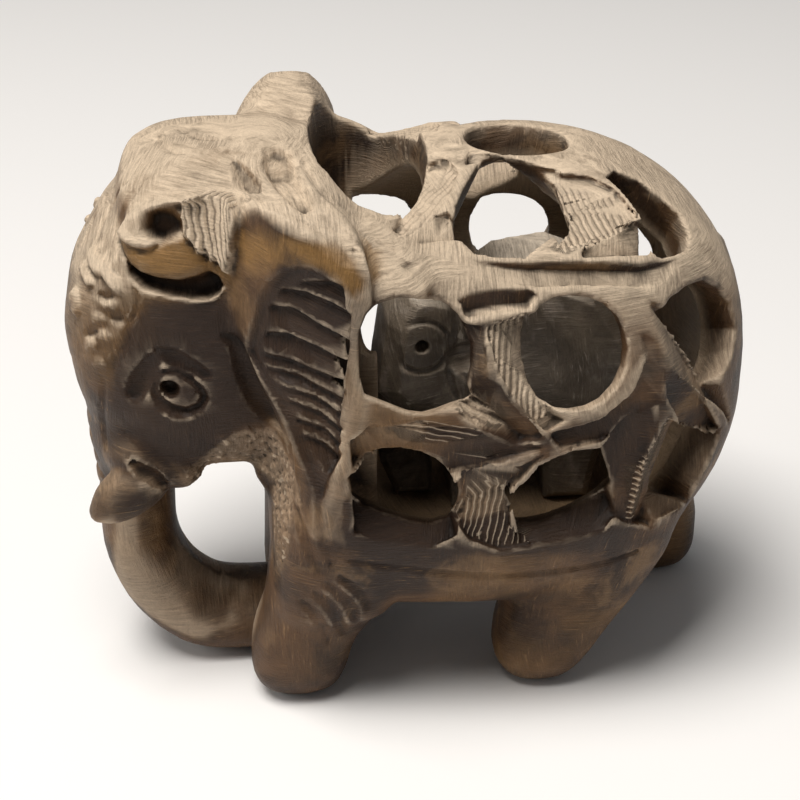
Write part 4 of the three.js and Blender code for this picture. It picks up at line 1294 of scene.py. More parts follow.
@dataclass
class InnerCarving:
    """The small elephant loose inside, left in broad flat cuts.

    Attributes:
        step: Spacing of its grid in millimetres.
        front: Where its trunk begins along X.
        floor: Height of its soles.
        length: Its length.
        height: Its height.
        half_width: Half its width.
        eye: Where the eye's dot is, as shares of length and height.
        ring: Radius of the ring round it.
        ring_width: Width of the ring's groove.
        line_width: Width of the carved lines.
        line_depth: Depth of the ring and the lines.
    """

    step: float = 0.3
    front: float = -5.8
    floor: float = 24.3
    length: float = 37.3
    height: float = 36.6
    half_width: float = 8.7
    eye: Flat = (0.16, 0.71)
    ring: float = 3.75
    ring_width: float = 1.05
    line_width: float = 1.3
    line_depth: float = 0.8

    def carve(self) -> Clay:
        """Carves the small elephant.

        Returns:
            The carved block.
        """
        clay = Clay((self.front - 2.0, -self.half_width - 2.0, self.floor - 2.0),
                    (self.front + self.length + 2.0, self.half_width + 2.0, self.floor + self.height + 2.0), self.step)
        for outline, wide, bevel in INNER_BLOCKS:
            self.add_block(clay, outline, wide, bevel)
        for sign in (-1.0, 1.0):
            self.carve_side(clay, sign)
        log.info("inner elephant carved on a grid of %s", clay.field.shape)
        return clay

    def at(self, along: float, up: float) -> Flat:
        """A place in millimetres from shares of the length and height."""
        return self.front + along * self.length, self.floor + up * self.height

    def add_block(self, clay: Clay, outline: Sequence[Flat], wide: float, bevel: float) -> None:
        """Joins a block with bevelled sides.

        Args:
            clay: The block of stone.
            outline: Its outline from the side, as shares of length and height.
            wide: Its width as a share of the whole.
            bevel: Width of the bevel in millimetres.
        """
        corners = [self.at(*p) for p in outline]
        half = wide * self.half_width

        def shape(x: Array, y: Array, z: Array) -> Array:
            """The block."""
            across = polygon_distance(x, z, corners)
            side = np.abs(y) - half
            both = -smooth_min(-across, -side, 1.0)
            return np.maximum(both, (across + side + bevel) * 0.7071)
        clay.add(shape, blend=0.6, scaled=False)

    def carve_side(self, clay: Clay, sign: float) -> None:
        """Carves one side: ear edge, ring and dot, mouth, drilled hollows and leg lines.

        Args:
            clay: The block.
            sign: -1 for the left side, 1 for the right.
        """
        y = sign * 0.95 * self.half_width
        x, z = self.at(*self.eye)
        turn = np.linspace(0.0, 2.0 * math.pi, 25)
        ring = [(x + self.ring * math.cos(t), y, z + self.ring * math.sin(t)) for t in turn]
        clay.line(ring, self.ring_width, -self.line_depth, taper=False)
        clay.cut(*ball((x, y, z), INNER_PUPIL_RADII), 0.15)
        for along, up, size in INNER_HOLLOWS:
            hx, hz = self.at(along, up)
            clay.cut(*ball((hx, sign * self.half_width, hz), (size, 2.4, size * 0.8)), 0.6)
        for points in INNER_LINES:
            line = [(px, y, pz) for px, pz in (self.at(*p) for p in points)]
            clay.line(line, self.line_width, -self.line_depth)


# From the drawing grid to the frame: metres, and the box centred in plan
TO_FRAME = 0.001
GRID_SHIFT = 0.6

# How far from its plane an area reaches, and a grooved one; how soft the grooved one's edge is
AREA_DEPTH, GROOVE_DEPTH, GROOVE_EDGE = 6.5, 4.5, 0.8

# How far the hollow's painted tint and glow reach past it, at its sides and its ends
HOLLOW_SIDES, HOLLOW_ENDS = 0.6, 1.0

# How many triangles the two stones keep
OUTER_TRIANGLES = 128_000
INNER_TRIANGLES = 26_000


def linear(hex_colour: str) -> tuple[float, float, float, float]:
    """An sRGB hex colour as linear values with full opacity.

    Args:
        hex_colour: The colour, such as #CFBCA4.

    Returns:
        Red, green, blue and opacity.
    """
    parts = [int(hex_colour[i:i + 2], 16) / 255.0 for i in (1, 3, 5)]
    values = [c / 12.92 if c <= 0.04045 else ((c + 0.055) / 1.055) ** 2.4 for c in parts]
    return values[0], values[1], values[2], 1.0


class Cut(Enum):
    """How an area of stone was worked."""

    SAWN = 1.0
    FILED = 0.45


@dataclass(frozen=True)
class Areas:
    """Areas of a stone that were finished in a way of their own.

    Attributes:
        grooved: Sawn and filed areas: outline, direction across the grooves, strength.
        polished: Rubbed smooth and brown.
        pale: Freshly scraped, with painted light on the trunk's end and a window rim.
        dark: Painted in shade.
        pecked: Pecked with a point.
    """

    grooved: tuple[tuple[Patch, Array, float], ...] = ()
    polished: tuple[Patch, ...] = ()
    pale: tuple[Patch, ...] = ()
    dark: tuple[Patch, ...] = ()
    pecked: tuple[Patch, ...] = ()

    @staticmethod
    def covered(points: Array, patches: Sequence[Patch], soft: float = 1.4) -> Array:
        """How far each point lies within one of some outlines, with a soft edge.

        Args:
            points: The points as rows, in millimetres.
            patches: The outlines.
            soft: Width of the soft edge.

        Returns:
            A share from 0 to 1 for each point.
        """
        share = np.zeros(len(points), dtype=np.float32)
        for patch in patches:
            gap, _, height = patch.place(points[:, 0], points[:, 1], points[:, 2])
            share = np.maximum(share, smooth_step(0.5 - gap / soft) * (np.abs(height) < AREA_DEPTH))
        return share

    def grooves(self, points: Array) -> tuple[Array, Array]:
        """How strongly each point is grooved, and how far it lies across the grooves.

        Args:
            points: The points as rows, in millimetres.

        Returns:
            The strength and the distance across, for each point.
        """
        strength = np.zeros(len(points), dtype=np.float32)
        across = np.zeros(len(points), dtype=np.float32)
        for patch, direction, amount in self.grooved:
            gap, _, height = patch.place(points[:, 0], points[:, 1], points[:, 2])
            inside = smooth_step(0.5 - gap / GROOVE_EDGE) * (np.abs(height) < GROOVE_DEPTH) * amount
            stronger = inside > strength
            strength = np.where(stronger, inside, strength)
            across = np.where(stronger, points @ direction.astype(np.float32), across)
        return strength, across

    def worked(self, points: Array) -> Array:
        """How much each point needs a fine mesh for its tool marks."""
        return np.maximum(self.grooves(points)[0], self.covered(points, self.pecked))


@dataclass
class StoneMesh:
    """Turns a carved block into a Blender mesh with its tool marks.

    Attributes:
        name: Name of the piece.
        triangles: How many triangles it keeps before the marked areas are refined.
        groove_pitch: Spacing of the saw's grooves in millimetres.
        groove_depth: Their depth in millimetres.
        edge_lengths: How long edges may stay in the worked areas, in turn.
        worked: From which share on an area counts as worked.
    """

    name: str
    triangles: int
    groove_pitch: float = 0.85
    groove_depth: float = 0.2
    edge_lengths: tuple[float, ...] = (0.9, 0.5, 0.32)
    worked: float = 0.3

    def build(self, clay: Clay, areas: Areas) -> bpy.types.Object:
        """Makes the object.

        Args:
            clay: The carved block.
            areas: Its specially finished areas.

        Returns:
            The stone, without its finish.
        """
        points, quads = clay.mesh()
        mesh = bpy.data.meshes.new(self.name)
        mesh.vertices.add(len(points))
        mesh.vertices.foreach_set("co", points.astype(np.float32).ravel())
        mesh.loops.add(4 * len(quads))
        mesh.loops.foreach_set("vertex_index", quads.astype(np.int32).ravel())
        mesh.polygons.add(len(quads))
        mesh.polygons.foreach_set("loop_start", np.arange(0, 4 * len(quads), 4, dtype=np.int32))
        mesh.polygons.foreach_set("loop_total", np.full(len(quads), 4, dtype=np.int32))
        mesh.update(calc_edges=True)
        mesh.validate()
        stone = bpy.data.objects.new(self.name, mesh)
        bpy.context.scene.collection.objects.link(stone)
        self.thin(stone, self.triangles / (2.0 * len(quads)))
        self.keep_largest(stone)
        if areas.grooved:
            self.refine(stone, areas)
        log.info("%s: %d triangles", self.name, len(stone.data.polygons))
        return stone

    @staticmethod
    def baked(stone: bpy.types.Object) -> None:
        """Puts the result of the modifiers in the mesh and takes them off.

        Args:
            stone: The stone.
        """
        depsgraph = bpy.context.evaluated_depsgraph_get()
        result = bpy.data.meshes.new_from_object(stone.evaluated_get(depsgraph))
        old = stone.data
        stone.modifiers.clear()
        stone.data = result
        result.name = stone.name
        bpy.data.meshes.remove(old)

    def thin(self, stone: bpy.types.Object, share: float) -> None:
        """Keeps a share of the triangles, fewest where the stone is flat.

        Args:
            stone: The stone.
            share: The share of the triangles that stays.
        """
        if share < 1.0:
            fewer = stone.modifiers.new("thin", "DECIMATE")
            fewer.ratio = share
            fewer.use_collapse_triangulate = True
        else:
            stone.modifiers.new("thin", "TRIANGULATE")
        self.baked(stone)

    @staticmethod
    def keep_largest(stone: bpy.types.Object) -> None:
        """Removes crumbs that the cuts left loose, keeping the one stone.

        Args:
            stone: The stone.
        """
        mesh = stone.data
        edges = np.empty(2 * len(mesh.edges), dtype=np.int32)
        mesh.edges.foreach_get("vertices", edges)
        a, b = edges.reshape(-1, 2).T
        label = np.arange(len(mesh.vertices))
        while True:
            lower = np.minimum(label[a], label[b])
            new = label.copy()
            np.minimum.at(new, a, lower)
            np.minimum.at(new, b, lower)
            new = new[new]
            if np.array_equal(new, label):
                break
            label = new
        names, counts = np.unique(label, return_counts=True)
        loose = label != names[np.argmax(counts)]
        if loose.any():
            work = bmesh.new()
            work.from_mesh(mesh)
            work.verts.ensure_lookup_table()
            bmesh.ops.delete(work, geom=[work.verts[i] for i in np.flatnonzero(loose)], context="VERTS")
            work.to_mesh(mesh)
            work.free()

    def coordinates(self, stone: bpy.types.Object) -> Array:
        """The points of the mesh as rows.

        Args:
            stone: The stone.

        Returns:
            One row for each point.
        """
        flat = np.empty(3 * len(stone.data.vertices), dtype=np.float32)
        stone.data.vertices.foreach_get("co", flat)
        return flat.reshape(-1, 3)

    def refine(self, stone: bpy.types.Object, areas: Areas) -> None:
        """Splits long edges in the grooved and pecked areas, so that the marks can be cut in the mesh.

        Args:
            stone: The stone.
            areas: Its specially finished areas.
        """
        work = bmesh.new()
        work.from_mesh(stone.data)
        for limit in self.edge_lengths:
            points = np.array([v.co[:] for v in work.verts], dtype=np.float32)
            strength = areas.worked(points)
            work.verts.index_update()
            long = [e for e in work.edges if e.calc_length() > limit
                    and min(strength[e.verts[0].index], strength[e.verts[1].index]) > self.worked]
            bmesh.ops.subdivide_edges(work, edges=long, cuts=1)
            bmesh.ops.triangulate(work, faces=[f for f in work.faces if len(f.verts) > 3])
        work.to_mesh(stone.data)
        work.free()

    def finish_surface(self, stone: bpy.types.Object, areas: Areas, hollow: Shape | None, seed: int) -> None:
        """Cuts the tool marks, stores what the finish reads, and puts the stone in the frame.

        Args:
            stone: The stone, in millimetres of the drawing grid.
            areas: Its specially finished areas.
            hollow: Field of the hollow, whose walls get a painted honey tint and, higher up, a painted glow; None for
                no hollow.
            seed: Seed of the uneven cuts.
        """
        points = self.coordinates(stone)
        strength, across = areas.grooves(points)
        values = {"grooved": strength, "across": across, "polish": areas.covered(points, areas.polished),
                  "pecked": areas.covered(points, areas.pecked), "pale": areas.covered(points, areas.pale),
                  "dark": areas.covered(points, areas.dark), "inner": np.zeros(len(points))}
        if hollow is not None:
            values["inner"] = smooth_step(0.5 - hollow(points[:, 0], points[:, 1], points[:, 2]) / 3.0)
        for name, column in values.items():
            store = stone.data.attributes.new(name, "FLOAT", "POINT")
            store.data.foreach_set("value", np.ascontiguousarray(column, dtype=np.float32))
        ToolMarks(pitch=self.groove_pitch, depth=self.groove_depth, seed=seed).cut(stone)
        self.baked(stone)
        stone.data.transform(Matrix.Diagonal((TO_FRAME, TO_FRAME, TO_FRAME, 1.0))
                             @ Matrix.Translation((GRID_SHIFT, 0.0, 0.0)))
        stone.data.polygons.foreach_set("use_smooth", np.ones(len(stone.data.polygons), dtype=bool))
        stone.data.update()


@dataclass(frozen=True)
class ToolMarks:
    """Geometry nodes that cut the saw's grooves and the chisel's uneven strokes.

    Attributes:
        pitch: Spacing of the grooves in millimetres.
        depth: Their depth in millimetres.
        waver: Height of the uneven strokes in millimetres.
        stroke: Size of a stroke in millimetres.
        seed: Seed of the strokes.
    """

    pitch: float
    depth: float
    waver: float = 0.34
    stroke: float = 2.6
    seed: int = 7

    def cut(self, stone: bpy.types.Object) -> None:
        """Builds the tree and puts it on the stone.

        Args:
            stone: A mesh in millimetres with the attributes grooved and across.
        """
        tree = bpy.data.node_groups.new("tool_marks", "GeometryNodeTree")
        sockets = {"Geometry": tree.interface.new_socket("Geometry", in_out="INPUT", socket_type="NodeSocketGeometry")}
        for label in ("Pitch", "Depth", "Waver", "Stroke", "Seed"):
            sockets[label] = tree.interface.new_socket(label, in_out="INPUT", socket_type="NodeSocketFloat")
        tree.interface.new_socket("Geometry", in_out="OUTPUT", socket_type="NodeSocketGeometry")
        given = add_node(tree, "NodeGroupInput")
        found = {label: given.outputs[label] for label in sockets}
        for name in ("grooved", "across", "pecked"):
            found[name] = add_node(tree, "GeometryNodeInputNamedAttribute", {"data_type": "FLOAT"},
                                   {"Name": name}).outputs["Attribute"]
        found["place"] = add_node(tree, "GeometryNodeInputPosition").outputs[0]
        found["normal"] = add_node(tree, "GeometryNodeInputNormal").outputs[0]
        add_steps(tree, found, self.depth_steps())
        stored = add_node(tree, "GeometryNodeStoreNamedAttribute", {"data_type": "FLOAT", "domain": "POINT"},
                          {"Geometry": found["Geometry"], "Name": "phase", "Value": found["turns"]})
        moved = add_node(tree, "GeometryNodeSetPosition", {},
                         {"Geometry": stored.outputs[0], "Offset": found["push"]})
        real = add_node(tree, "GeometryNodeRealizeInstances", {}, {"Geometry": moved.outputs[0]})
        dressed = add_node(tree, "GeometryNodeSetMaterial", {}, {"Geometry": real.outputs[0]})
        add_node(tree, "NodeGroupOutput", {}, {"Geometry": dressed.outputs[0]})
        layer = stone.modifiers.new("tool_marks", "NODES")
        layer.node_group = tree
        for label, value in (("Pitch", self.pitch), ("Depth", self.depth), ("Waver", self.waver),
                             ("Stroke", self.stroke), ("Seed", float(self.seed))):
            layer[sockets[label].identifier] = value

    @staticmethod
    def depth_steps() -> list[Step]:
        """How far each point moves: grooves that drift a little, uneven strokes and pecked pits.

        Returns:
            The steps.
        """
        strokes = {"Vector": "place", "W": "Seed", "Scale": "scale", "Detail": 3.0, "Roughness": 0.55}
        pits = {"Vector": "place", "W": "Seed", "Scale": 1.1, "Detail": 2.0}
        steps: list[Step] = [
            ("scale", "ShaderNodeMath", {"operation": "DIVIDE"}, {0: 1.0, 1: "Stroke"}),
            ("drift", "ShaderNodeTexNoise", {"noise_dimensions": "4D"}, strokes),
            ("pits", "ShaderNodeTexNoise", {"noise_dimensions": "4D"}, pits),
        ]
        for name, operation, inputs in (
                ("uneven", "MULTIPLY_ADD", {0: "drift", 1: 1.4, 2: "across"}),
                ("turns", "DIVIDE", {0: "uneven", 1: "Pitch"}), ("share", "PINGPONG", {0: "turns", 1: 0.5}),
                ("groove", "MULTIPLY", {0: "share", 1: "grooved"}), ("deep", "MULTIPLY", {0: "groove", 1: "Depth"}),
                ("twice", "MULTIPLY", {0: "deep", 1: -2.0}), ("centred", "SUBTRACT", {0: "drift", 1: 0.5}),
                ("waver", "MULTIPLY_ADD", {0: "centred", 1: "Waver", 2: "twice"}),
                ("pit", "SUBTRACT", {0: "pits", 1: 0.5}), ("pit_depth", "MULTIPLY", {0: "pit", 1: "pecked"}),
                ("rough", "MULTIPLY_ADD", {0: "pit_depth", 1: 1.3, 2: "waver"})):
            steps.append((name, "ShaderNodeMath", {"operation": operation}, inputs))
        return [*steps, ("push", "ShaderNodeVectorMath", {"operation": "SCALE"}, {0: "normal", "Scale": "rough"})]


def add_node(tree: bpy.types.NodeTree, kind: str, settings: dict | None = None,
             inputs: dict | None = None) -> bpy.types.Node:
    """Adds a node with its settings, values and links.

    Args:
        tree: The tree.
        kind: The node's type.
        settings: Properties of the node.
        inputs: Input socket, by name or number, to a value or to another node's output.

    Returns:
        The node.
    """
    node = tree.nodes.new(kind)
    for key, value in (settings or {}).items():
        setattr(node, key, value)
    for key, value in (inputs or {}).items():
        if isinstance(value, bpy.types.NodeSocket):
            tree.links.new(value, node.inputs[key])
        else:
            node.inputs[key].default_value = value
    return node


def add_steps(tree: bpy.types.NodeTree, found: dict[str, bpy.types.NodeSocket], steps: Sequence[Step]) -> None:
    """Adds nodes one after another.

    Args:
        tree: The tree.
        found: The sockets made so far, by name; those of the steps join them.
        steps: Each node's name, type, settings and inputs; a text among the inputs names a socket.
    """
    for name, kind, settings, inputs in steps:
        values = {key: found[value] if isinstance(value, str) else value for key, value in inputs.items()}
        found[name] = add_node(tree, kind, settings, values).outputs[0]


@dataclass(frozen=True)
class Soapstone:
    """Soapstone, sawn and scraped where it is pale, rubbed with wax where it is dark and brown.

    Scraped skin is matt, cream and chalky, with fine scratches; waxed stone is dark brown, clouded and a
    little shiny, and clear and honey-coloured where it was rubbed most. Light and shade are also painted
    into the colour: paler chalk on faces that look up and high on the body, browner chalk low down,
    painted highlights on convex edges and saw crests, painted shade in creases, saw grooves and the dark
    areas, and a painted glow on the walls of the hollow.

    Attributes:
        name: Name of the material.
        scraped: Colour of the chalky scraped skin, on what faces up and on sawn facets; also the colour of the
            painted highlights on edges and saw crests and of the painted glow in the hollow.
        shaded_low_chalk: Colour of the same skin low on the body, a painted shade that makes it browner there.
        body: Colour of the waxed stone.
        shade: Colour of its darker clouds, and of the painted shade in the dark areas and the saw's grooves.
        honey: Colour where wax makes it clear and brown, and the painted glow tint on the hollow's walls.
        dust: Colour of its paler clouds, where stone dust is left.
        crease_shade_colour: Colour of the painted shade in grooves and hollows.
        rough: Roughness of the waxed stone.
        chalk_rough: How much rougher the chalky skin is.
        wax: Strength of the waxed coat.
    """

    name: str
    scraped: str = "#CFBCA4"
    shaded_low_chalk: str = "#93775A"
    body: str = "#5E452F"
    shade: str = "#2F2118"
    honey: str = "#94703F"
    dust: str = "#85694A"
    crease_shade_colour: str = "#17100B"
    rough: float = 0.5
    chalk_rough: float = 0.38
    wax: float = 0.06

    def make(self) -> bpy.types.Material:
        """Builds the material.

        Returns:
            The material.
        """
        material = bpy.data.materials.new(self.name)
        material.use_nodes = True
        tree = material.node_tree
        tree.nodes.clear()
        found = self.surface(tree)
        add_steps(tree, found, [*self.textures(), *self.shares()])
        # the chalk is browner low on the body and paler high on it: painted shade and light from above
        found["chalk_colour"] = add_node(tree, "ShaderNodeMix", {"data_type": "RGBA"}, {
            "Factor": found["pale_and_high_light_share"], 6: linear(self.shaded_low_chalk), 7: linear(self.scraped)}).outputs[2]
        toned = add_node(tree, "ShaderNodeVectorMath", {"operation": "SCALE"},
                         {0: self.coloured(tree, found), "Scale": found["tone"]})
        bump = add_node(tree, "ShaderNodeBump", {},
                        {"Strength": 0.8, "Distance": 0.0004, "Height": found["bumps"]})
        fine = add_node(tree, "ShaderNodeBump", {}, {
            "Strength": 0.6, "Distance": 0.00015, "Height": found["grit"], "Normal": bump.outputs[0]})
        rough = add_node(tree, "ShaderNodeMapRange", {}, {
            "Value": found["chalky"], "From Min": 0.0, "From Max": 1.0, "To Min": self.rough,
            "To Max": self.rough + self.chalk_rough})
        shader = add_node(tree, "ShaderNodeBsdfPrincipled", {}, {
            "Base Color": toned.outputs[0], "Roughness": rough.outputs[0], "Normal": fine.outputs[0],
            "IOR": 1.5, "Specular IOR Level": 0.22, "Coat Weight": self.wax, "Coat Roughness": 0.3})
        add_node(tree, "ShaderNodeOutputMaterial", {}, {"Surface": shader.outputs[0]})
        return material

    @staticmethod
    def surface(tree: bpy.types.NodeTree) -> dict[str, bpy.types.NodeSocket]:
        """What the finish reads of the surface: its attributes, place, facing and edges.

        Args:
            tree: The material's tree.

        Returns:
            The sockets by name.
        """
        found = {name: add_node(tree, "ShaderNodeAttribute", {"attribute_name": name}).outputs["Fac"]
                 for name in ("grooved", "phase", "polish", "pecked", "pale", "dark", "inner")}
        place = add_node(tree, "ShaderNodeTexCoord")
        found["where"] = place.outputs["Object"]
        found["turn"] = add_node(tree, "ShaderNodeTexNoise", {}, {
            "Vector": place.outputs["Object"], "Scale": 38.0, "Detail": 0.5}).outputs["Color"]
        found["edge"] = add_node(tree, "ShaderNodeNewGeometry").outputs["Pointiness"]
        for name, source in (("up", "Normal"), ("high", "Object")):
            parts = add_node(tree, "ShaderNodeSeparateXYZ", {}, {0: place.outputs[source]})
            found[name] = parts.outputs["Z"]
        return found

    @staticmethod
    def textures() -> list[Step]:
        """The stone's clouds, scratches and grit, each at its real size; scales are turns per metre.

        Returns:
            The steps.
        """
        # scratches 0.3 mm apart that curve with the tool's way; in half of the patches they run the other way
        steps: list[Step] = [
            ("swirl", "ShaderNodeVectorMath", {"operation": "SCALE"}, {0: "turn", "Scale": 0.011}),
            ("bent", "ShaderNodeVectorMath", {"operation": "ADD"}, {0: "where", 1: "swirl"}),
            ("along", "ShaderNodeMapping", {},
             {"Vector": "bent", "Scale": (240.0, 300.0, 3600.0), "Rotation": (0.1, 0.5, 0.0)}),
            ("cross", "ShaderNodeMapping", {},
             {"Vector": "bent", "Scale": (3300.0, 240.0, 330.0), "Rotation": (0.3, 0.7, 0.4)}),
        ]
        # clouds of 12 mm with paler ones of 8 mm, as the stone is mottled; grit of 0.4 mm
        for name, way, scale, detail, rough in (
                ("clouds", "where", 85.0, 5.0, 0.6), ("pale_clouds", "where", 120.0, 6.0, 0.62),
                ("patches", "where", 40.0, 3.0, 0.5), ("scratches", "along", 1.0, 4.0, 0.7),
                ("rasped", "cross", 1.0, 4.0, 0.7), ("parts", "where", 95.0, 2.0, 0.5),
                ("grit", "where", 2600.0, 2.0, 0.7)):
            steps.append((name, "ShaderNodeTexNoise", {}, {
                "Vector": way, "Scale": scale, "Detail": detail, "Roughness": rough, "Distortion": 0.4}))
        return steps

    @staticmethod
    def shares() -> list[Step]:
        """How much of each colour shows where, from 0 to 1.

        Returns:
            The steps.
        """
        smooth = {"clamp": True, "interpolation_type": "SMOOTHSTEP"}
        steps: list[Step] = [("tooth", "ShaderNodeMath", {"operation": "PINGPONG"}, {0: "phase", 1: 0.5})]
        for name, source, low, high in (
                ("body_share", "clouds", 0.38, 0.66), ("clear_share", "patches", 0.52, 0.66),
                ("dust_share", "pale_clouds", 0.52, 0.7), ("part", "parts", 0.46, 0.54),
                # facing feeds the chalk partly as painted light from above; the two edge shares carry a painted
                # highlight on convex edges and painted shade in concave ones
                ("sawn", "grooved", 0.25, 0.7), ("facing", "up", 0.0, 0.75), ("edge_highlight", "edge", 0.515, 0.57),
                ("crease_shade", "edge", 0.495, 0.44), ("crest", "tooth", 0.16, 0.03),
                ("bottom", "tooth", 0.26, 0.46)):
            steps.append((name, "ShaderNodeMapRange", smooth, {"Value": source, "From Min": low, "From Max": high}))
        steps += [
            ("rasp", "ShaderNodeMix", {"data_type": "FLOAT"}, {"Factor": "part", 2: "scratches", 3: "rasped"}),
            ("scratch_share", "ShaderNodeMapRange", smooth, {"Value": "rasp", "From Min": 0.58, "From Max": 0.7}),
            # painted light from above: this ramp is low near the floor and high on the back and head
            ("height", "ShaderNodeMapRange", {"clamp": True},
             {"Value": "high", "From Min": 0.028, "From Max": 0.062, "To Min": 0.2, "To Max": 1.0}),
        ]
        for name, operation, inputs in (
                # chalk lies where the stone faces up, most on the back and head, partly as painted light from above,
                # and where the saw went
                ("top", "MULTIPLY", {0: "facing", 1: "height"}),
                ("scraps", "MULTIPLY_ADD", {0: "rasp", 1: 1.4, 2: -1.4}),
                ("broken", "MULTIPLY_ADD", {0: "pale_clouds", 1: 1.6, 2: "scraps"}),
                ("amount", "MULTIPLY_ADD", {0: "broken", 1: "top", 2: "top"}),
                ("amount", "MULTIPLY_ADD", {0: "grooved", 1: 0.45, 2: "amount"}),
                ("amount", "MULTIPLY_ADD", {0: "pale", 1: 0.7, 2: "amount"}),
                ("amount", "MULTIPLY_ADD", {0: "pecked", 1: 0.45, 2: "amount"}),
                ("amount", "MULTIPLY_ADD", {0: "polish", 1: -0.75, 2: "amount"}),
                # the dark areas lose their chalk, as painted shade
                ("amount", "MULTIPLY_ADD", {0: "dark", 1: -0.85, 2: "amount"}),
                # painted glow of light through the stone on the hollow's walls, strongest high up
                ("glow", "MULTIPLY", {0: "inner", 1: "height"}),
                # painted highlight on the saw's crests and painted shade in its groove bottoms
                ("crest_highlight", "MULTIPLY", {0: "sawn", 1: "crest"}),
                ("groove_shade", "MULTIPLY", {0: "sawn", 1: "bottom"}),
                # fine strokes and grains show as lighter and darker specks, and as bumps
                ("specks", "MULTIPLY_ADD", {0: "grit", 1: 0.4, 2: "rasp"}),
                ("teeth", "MULTIPLY", {0: "sawn", 1: "tooth"}),
                ("bumps", "MULTIPLY_ADD", {0: "teeth", 1: -1.6, 2: "rasp"})):
            steps.append((name, "ShaderNodeMath", {"operation": operation}, inputs))
        steps += [
            ("chalky", "ShaderNodeMath", {"operation": "MULTIPLY", "use_clamp": True}, {0: "amount", 1: 0.85}),
            # pale areas and height raise the chalk colour's share; the height part is painted light from above
            ("pale_and_high_light_share", "ShaderNodeMath", {"operation": "MULTIPLY_ADD", "use_clamp": True},
             {0: "pale", 1: 0.5, 2: "height"}),
            ("tone", "ShaderNodeMapRange", {"clamp": True},
             {"Value": "specks", "From Min": 0.45, "From Max": 0.95, "To Min": 0.72, "To Max": 1.28}),
        ]
        return steps

    def coloured(self, tree: bpy.types.NodeTree, found: dict[str, bpy.types.NodeSocket]) -> bpy.types.NodeSocket:
        """Lays the colours over each other.

        Args:
            tree: The material's tree.
            found: The shares by name.

        Returns:
            The finished colour.
        """
        # scraped also colours the painted highlights and glow below, and shade the painted shade
        scraped, honey, dust = linear(self.scraped), linear(self.honey), linear(self.dust)
        colour: object = linear(self.shade)
        for share, over, most in (
                ("body_share", linear(self.body), 1.0), ("clear_share", honey, 0.22), ("dust_share", dust, 0.6),
                ("scratch_share", dust, 0.6), ("chalky", found["chalk_colour"], 1.0), ("polish", honey, 0.6),
                # the dark areas are painted in shade
                ("dark", linear(self.shade), 0.88),
                # convex edges get a painted highlight and concave hollows a painted shade
                ("edge_highlight", scraped, 0.5), ("crease_shade", linear(self.crease_shade_colour), 0.75),
                # the walls near the spine's openings are paler, a painted glow of light coming through the stone there,
                # over a painted honey tint
                ("inner", honey, 0.35), ("glow", scraped, 0.9),
                # the saw's grooves get a painted shade at the bottom, with a thin painted highlight on the crest
                # between them
                ("crest_highlight", scraped, 0.6), ("groove_shade", linear(self.shade), 0.5)):
            amount = add_node(tree, "ShaderNodeMath", {"operation": "MULTIPLY", "use_clamp": True},
                              {0: found[share], 1: most})
            colour = add_node(tree, "ShaderNodeMix", {"data_type": "RGBA"},
                              {"Factor": amount.outputs[0], 6: colour, 7: over}).outputs[2]
        return colour


@dataclass
class Studio:
    """Camera, soft lights and a pale floor.

    Attributes:
        azimuth: Degrees from the elephant's left side, negative towards its head.
        elevation: Degrees over the floor.
        distance: Metres from camera to target.
        lens: Focal length in millimetres on a 36 mm sensor.
        target: The point in the middle of the picture.
    """

    azimuth: float = -6.0
    elevation: float = 27.0
    distance: float = 0.263
    lens: float = 83.25
    target: Point = (-0.0014, 0.0, 0.0382)

    def build(self) -> None:
        """Places the camera, the floor and the lights."""
        a, e = math.radians(self.azimuth), math.radians(self.elevation)
        back = Vector((math.sin(a) * math.cos(e), -math.cos(a) * math.cos(e), math.sin(e)))
        camera = bpy.data.cameras.new("camera")
        camera.lens, camera.sensor_width, camera.clip_start = self.lens, 36.0, 0.01
        holder = bpy.data.objects.new("camera", camera)
        holder.location = Vector(self.target) + self.distance * back
        holder.rotation_euler = back.to_track_quat("Z", "Y").to_euler()
        bpy.context.scene.collection.objects.link(holder)
        bpy.context.scene.camera = holder
        self.floor()
        self.light("top", (-0.24, -0.24, 0.96), (0.0, 0.0, 0.03), 0.5, 10.0, "#FFFAF4")
        self.light("front", (-0.75, -0.1, 0.4), (-0.02, 0.0, 0.04), 0.4, 1.3, "#FFFAF4")
        world = bpy.data.worlds.new("studio")
        world.use_nodes = True
        background = world.node_tree.nodes["Background"]
        background.inputs["Color"].default_value = linear("#FFFFFF")
        background.inputs["Strength"].default_value = 0.12
        bpy.context.scene.view_settings.view_transform = "Standard"
        bpy.context.scene.world = world

    @staticmethod
    def floor() -> None:
        """Lays the pale floor."""
        mesh = bpy.data.meshes.new("floor")
        size = 1.5
        mesh.from_pydata([(-size, -size, 0), (size, -size, 0), (size, size, 0), (-size, size, 0)], [], [(0, 1, 2, 3)])
        floor = bpy.data.objects.new("floor", mesh)
        bpy.context.scene.collection.objects.link(floor)
        paint = bpy.data.materials.new("matt_white_board")
        paint.use_nodes = True
        shader = paint.node_tree.nodes["Principled BSDF"]
        shader.inputs["Base Color"].default_value = linear("#FFFFFF")
        shader.inputs["Roughness"].default_value = 0.9
        mesh.materials.append(paint)

    @staticmethod
    def light(name: str, place: Point, target: Point, size: float, power: float, colour: str) -> None:
        """Adds a square soft light aimed at a point.

        Args:
            name: Name of the light.
            place: Where it hangs, in metres.
            target: What it is aimed at.
            size: Its width in metres.
            power: Its power in watts.
            colour: Its colour as sRGB hex.
        """
        lamp = bpy.data.lights.new(name, "AREA")
        lamp.size, lamp.energy, lamp.color = size, power, linear(colour)[:3]
        holder = bpy.data.objects.new(name, lamp)
        holder.location = place
        holder.rotation_euler = (Vector(place) - Vector(target)).to_track_quat("Z", "Y").to_euler()
        bpy.context.scene.collection.objects.link(holder)


